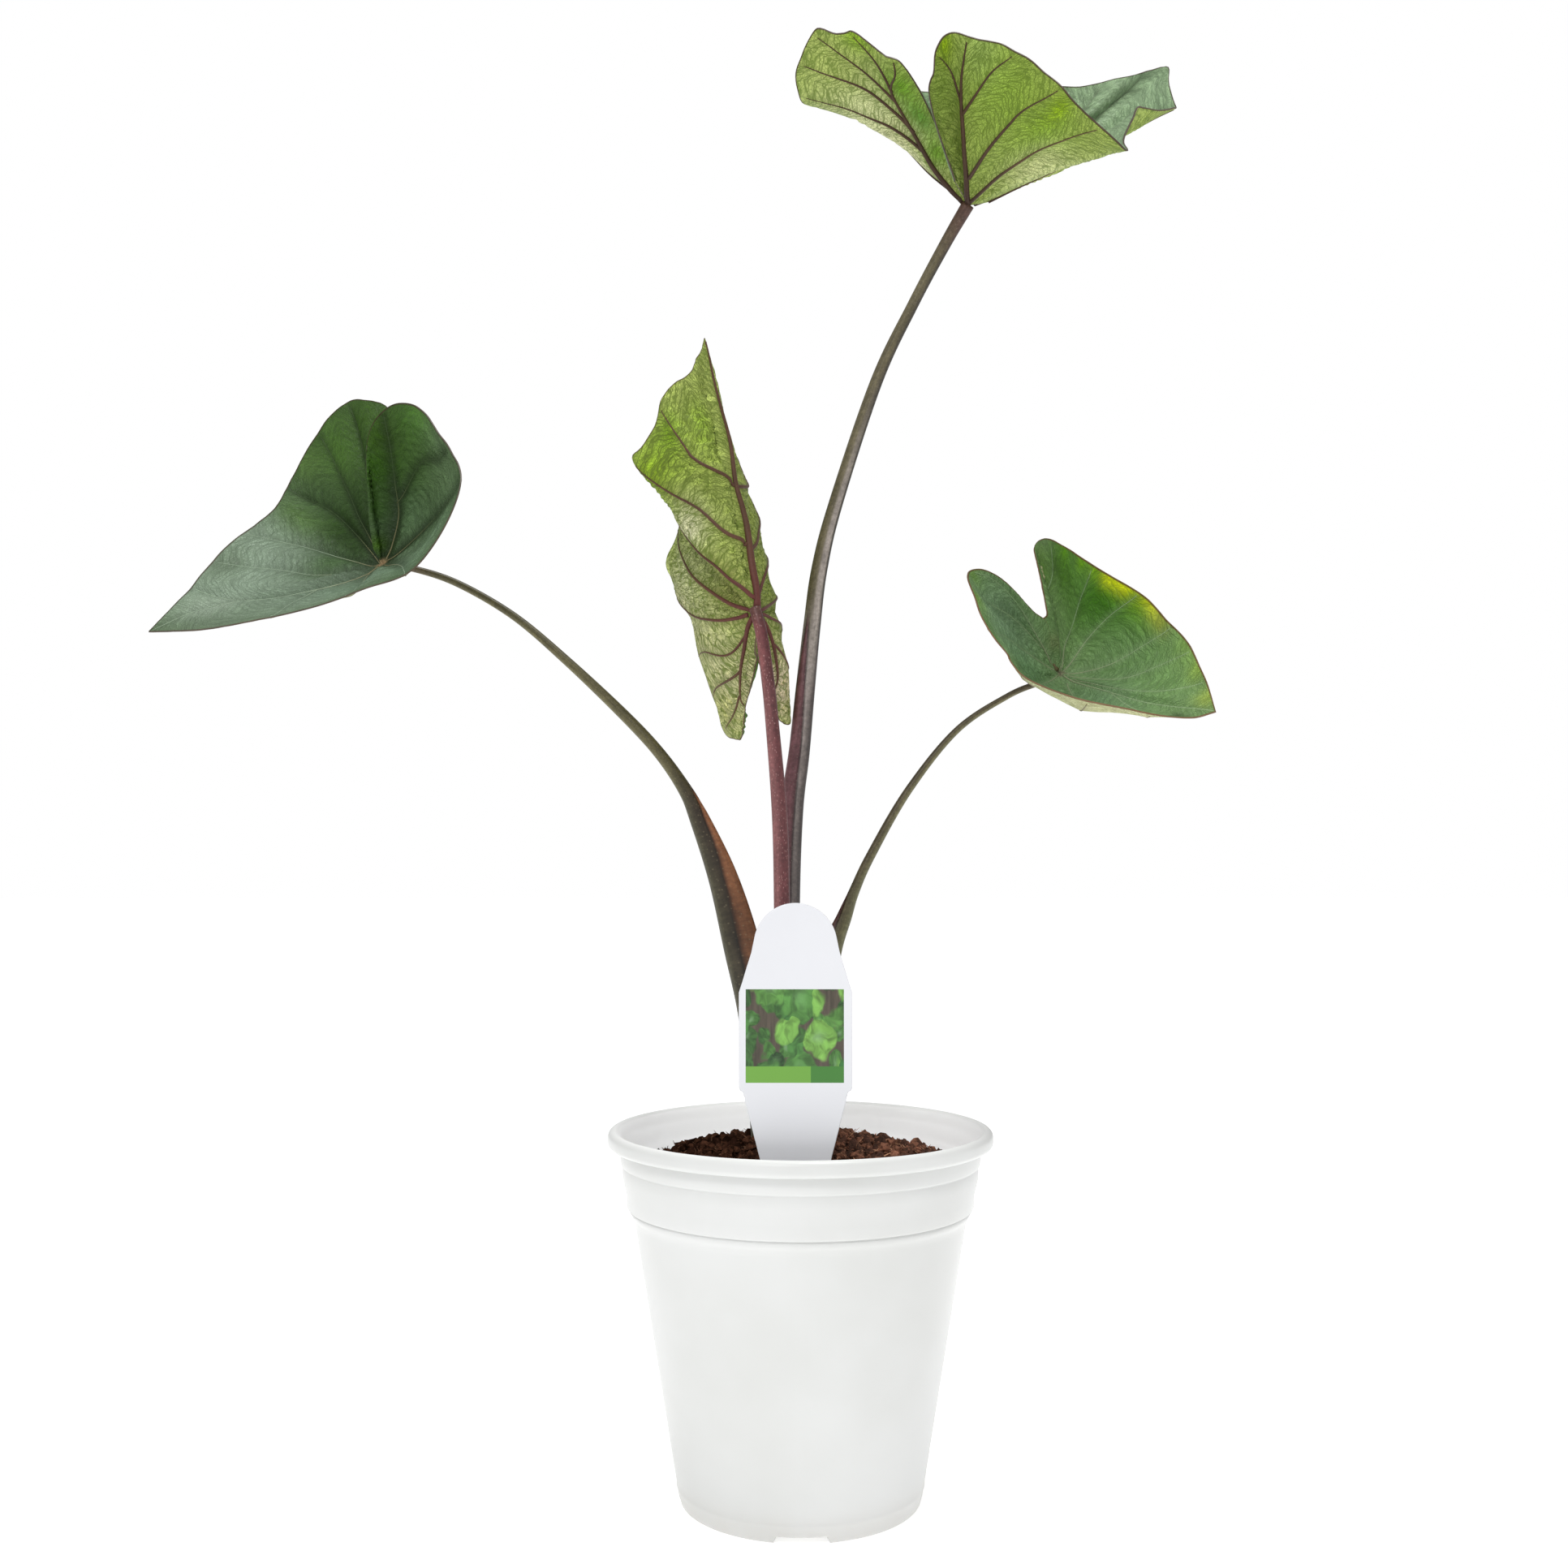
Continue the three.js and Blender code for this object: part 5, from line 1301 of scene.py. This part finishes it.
def make_tag():
    """Thin plate with the tag's outline and slightly rounded edges."""
    half = tag_outline()
    loop = np.array(half + [(-x, z) for x, z in reversed(half[:-1])])
    centre = np.array([0, 135.0])
    layers = [(0.35, -0.4), (0.12, -0.36), (0, -0.2), (0, 0.2), (0.12, 0.36), (0.35, 0.4)]
    sides = len(loop)
    rings = []
    for inset, depth in layers:
        ring = loop - unit(loop - centre) * inset
        rings.append(np.stack([ring[:, 0] + TAG_CENTRE, np.full(sides, TAG_Y - depth), ring[:, 1]], -1))
    points = np.array(rings).reshape(-1, 3)
    piece = make_piece("tag_plate", points, ring_faces(len(layers), sides), [tag_material()])
    flat_rings = (0, len(layers) - 1)
    sharpen(piece, lambda one, two: (one // sides == two // sides) & np.isin(one // sides, flat_rings))
    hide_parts("plant_tag")


def window(shader, value, span):
    """1 where a value lies between two bounds."""
    above = shader.math("GREATER_THAN", value, span[0] * MM)
    return shader.math("MULTIPLY", above, shader.math("LESS_THAN", value, span[1] * MM))


def tag_material():
    """White printed plastic with a plain block of leafy greens over a green band, front side only."""
    shader = Shader("tag_print", 0.3, Specular_IOR_Level=0.4)
    place = shader.place()
    x, y, z = (shader.separate(place, axis) for axis in range(3))
    front = shader.math("LESS_THAN", y, TAG_FRONT * MM)
    columns = shader.math("MULTIPLY", window(shader, x, PRINT_SPAN), front)
    block = shader.math("MULTIPLY", window(shader, z, PICTURE_SPAN), columns)
    band = shader.math("MULTIPLY", window(shader, z, BAND_SPAN), columns)
    paper = shader.mix(shader.noise(place, 60, 2), linear(214, 215, 219), linear(219, 220, 224))
    dark_half = shader.math("GREATER_THAN", x, BAND_SPLIT * MM)
    band_tint = shader.mix(dark_half, linear(106, 158, 62), linear(62, 120, 48))
    tint = shader.mix(block, paper, leafy_pattern(shader, place))
    shader.colour(shader.mix(band, tint, band_tint))
    shader.bump(shader.noise(place, 500, 2), 0.00002, 0.3)
    return shader.material


def leafy_pattern(shader, place):
    """Generic foliage: two sizes of slanting rounded cells in leafy greens over a dark streaked ground."""
    flat = shader.stretch(place, (1, 0, 0.8))
    warped = shader.add_vectors(flat, shader.noise(flat, 150, 2, output="Color"), 0.006)
    streaks = shader.noise(shader.stretch(flat, (1, 1, 0.15)), 900)
    picture = shader.mix(streaks, linear(24, 30, 18), linear(104, 92, 80))
    for scale, dark, light in ((210, (30, 62, 30), (70, 116, 52)), (115, (44, 96, 46), (112, 160, 72))):
        level = shader.separate(shader.cells(warped, scale, "F1", "Color"), 0)
        heart = shader.cells(warped, scale, "F1")
        leaf = shader.mix(level, linear(*dark), linear(*light))
        leaf = shader.scaled(leaf, 0.5, 1.5, shader.noise(warped, scale * 2.2, 2, 0.5, 1.2))
        gleam = shader.math("MULTIPLY", shader.between(heart, 0, 0.35, 0.45, 0), level)
        leaf = shader.mix(gleam, leaf, linear(176, 216, 170))
        picture = shader.mix(shader.between(heart, 0.5, 0.6, 1, 0), picture, leaf)
    return picture


# Studio
def stage_material(name, tone):
    glow = {"Emission_Color": (1, 1, 1), "Emission_Strength": FLOOR_GLOW}
    shader = Shader(name, 0.85, Specular_IOR_Level=0.1, **glow)
    shader.colour(shader.mix(shader.noise(shader.place(), 2), tone, tone * 0.99))
    return shader.material


def make_floor():
    mesh = bpy.data.meshes.new("floor")
    corners = [(x * FLOOR_REACH, y * FLOOR_REACH, 0) for x, y in ((-1, -1), (1, -1), (1, 1), (-1, 1))]
    mesh.from_pydata(corners, [], [(0, 1, 2, 3)])
    mesh.materials.append(stage_material("floor_pale", linear(250, 250, 250)))
    floor = bpy.data.objects.new("floor", mesh)
    bpy.context.scene.collection.objects.link(floor)


def make_light(name, place, power, size):
    data = bpy.data.lights.new(name, "AREA")
    data.shape = "DISK"
    data.size = size
    data.energy = power
    lamp = bpy.data.objects.new(name, data)
    lamp.location = place
    aim = Vector(LIGHT_TARGET) - Vector(place)
    lamp.rotation_euler = aim.to_track_quat("-Z", "Y").to_euler()
    bpy.context.scene.collection.objects.link(lamp)


def make_camera():
    data = bpy.data.cameras.new("camera")
    data.sensor_fit = "HORIZONTAL"
    data.sensor_width = SENSOR
    data.lens = FOCAL_PIXELS * SENSOR / PHOTO_PIXELS
    camera = bpy.data.objects.new("camera", data)
    camera.location = [value * MM for value in CAMERA_PLACE]
    camera.rotation_euler = (math.pi / 2 + CAMERA_PITCH, 0, 0)
    bpy.context.scene.collection.objects.link(camera)
    bpy.context.scene.camera = camera


def make_world():
    world = bpy.data.worlds.new("studio")
    world.use_nodes = True
    nodes, links = world.node_tree.nodes, world.node_tree.links
    soft = nodes["Background"]
    soft.inputs["Color"].default_value = (1, 1, 1, 1)
    soft.inputs["Strength"].default_value = SKY
    seen = nodes.new("ShaderNodeBackground")
    seen.inputs["Color"].default_value = (1, 1, 1, 1)
    choice = nodes.new("ShaderNodeMixShader")
    links.new(nodes.new("ShaderNodeLightPath").outputs["Is Camera Ray"], choice.inputs[0])
    links.new(soft.outputs[0], choice.inputs[1])
    links.new(seen.outputs[0], choice.inputs[2])
    links.new(choice.outputs[0], nodes["World Output"].inputs["Surface"])
    bpy.context.scene.world = world


bpy.context.scene.view_settings.view_transform = "Standard"
make_camera()
make_world()
make_floor()
for light in LIGHTS:
    make_light(*light)

for number, leaf_key in enumerate(LEAVES):
    make_leaf(leaf_key, SEED + number)
for leaf_key in STALKS:
    make_stalk(leaf_key)
make_pot()
soil_draws = np.random.default_rng(SEED)
make_soil(soil_draws)
make_crumbs(soil_draws)
make_fibres(soil_draws)
make_tag()
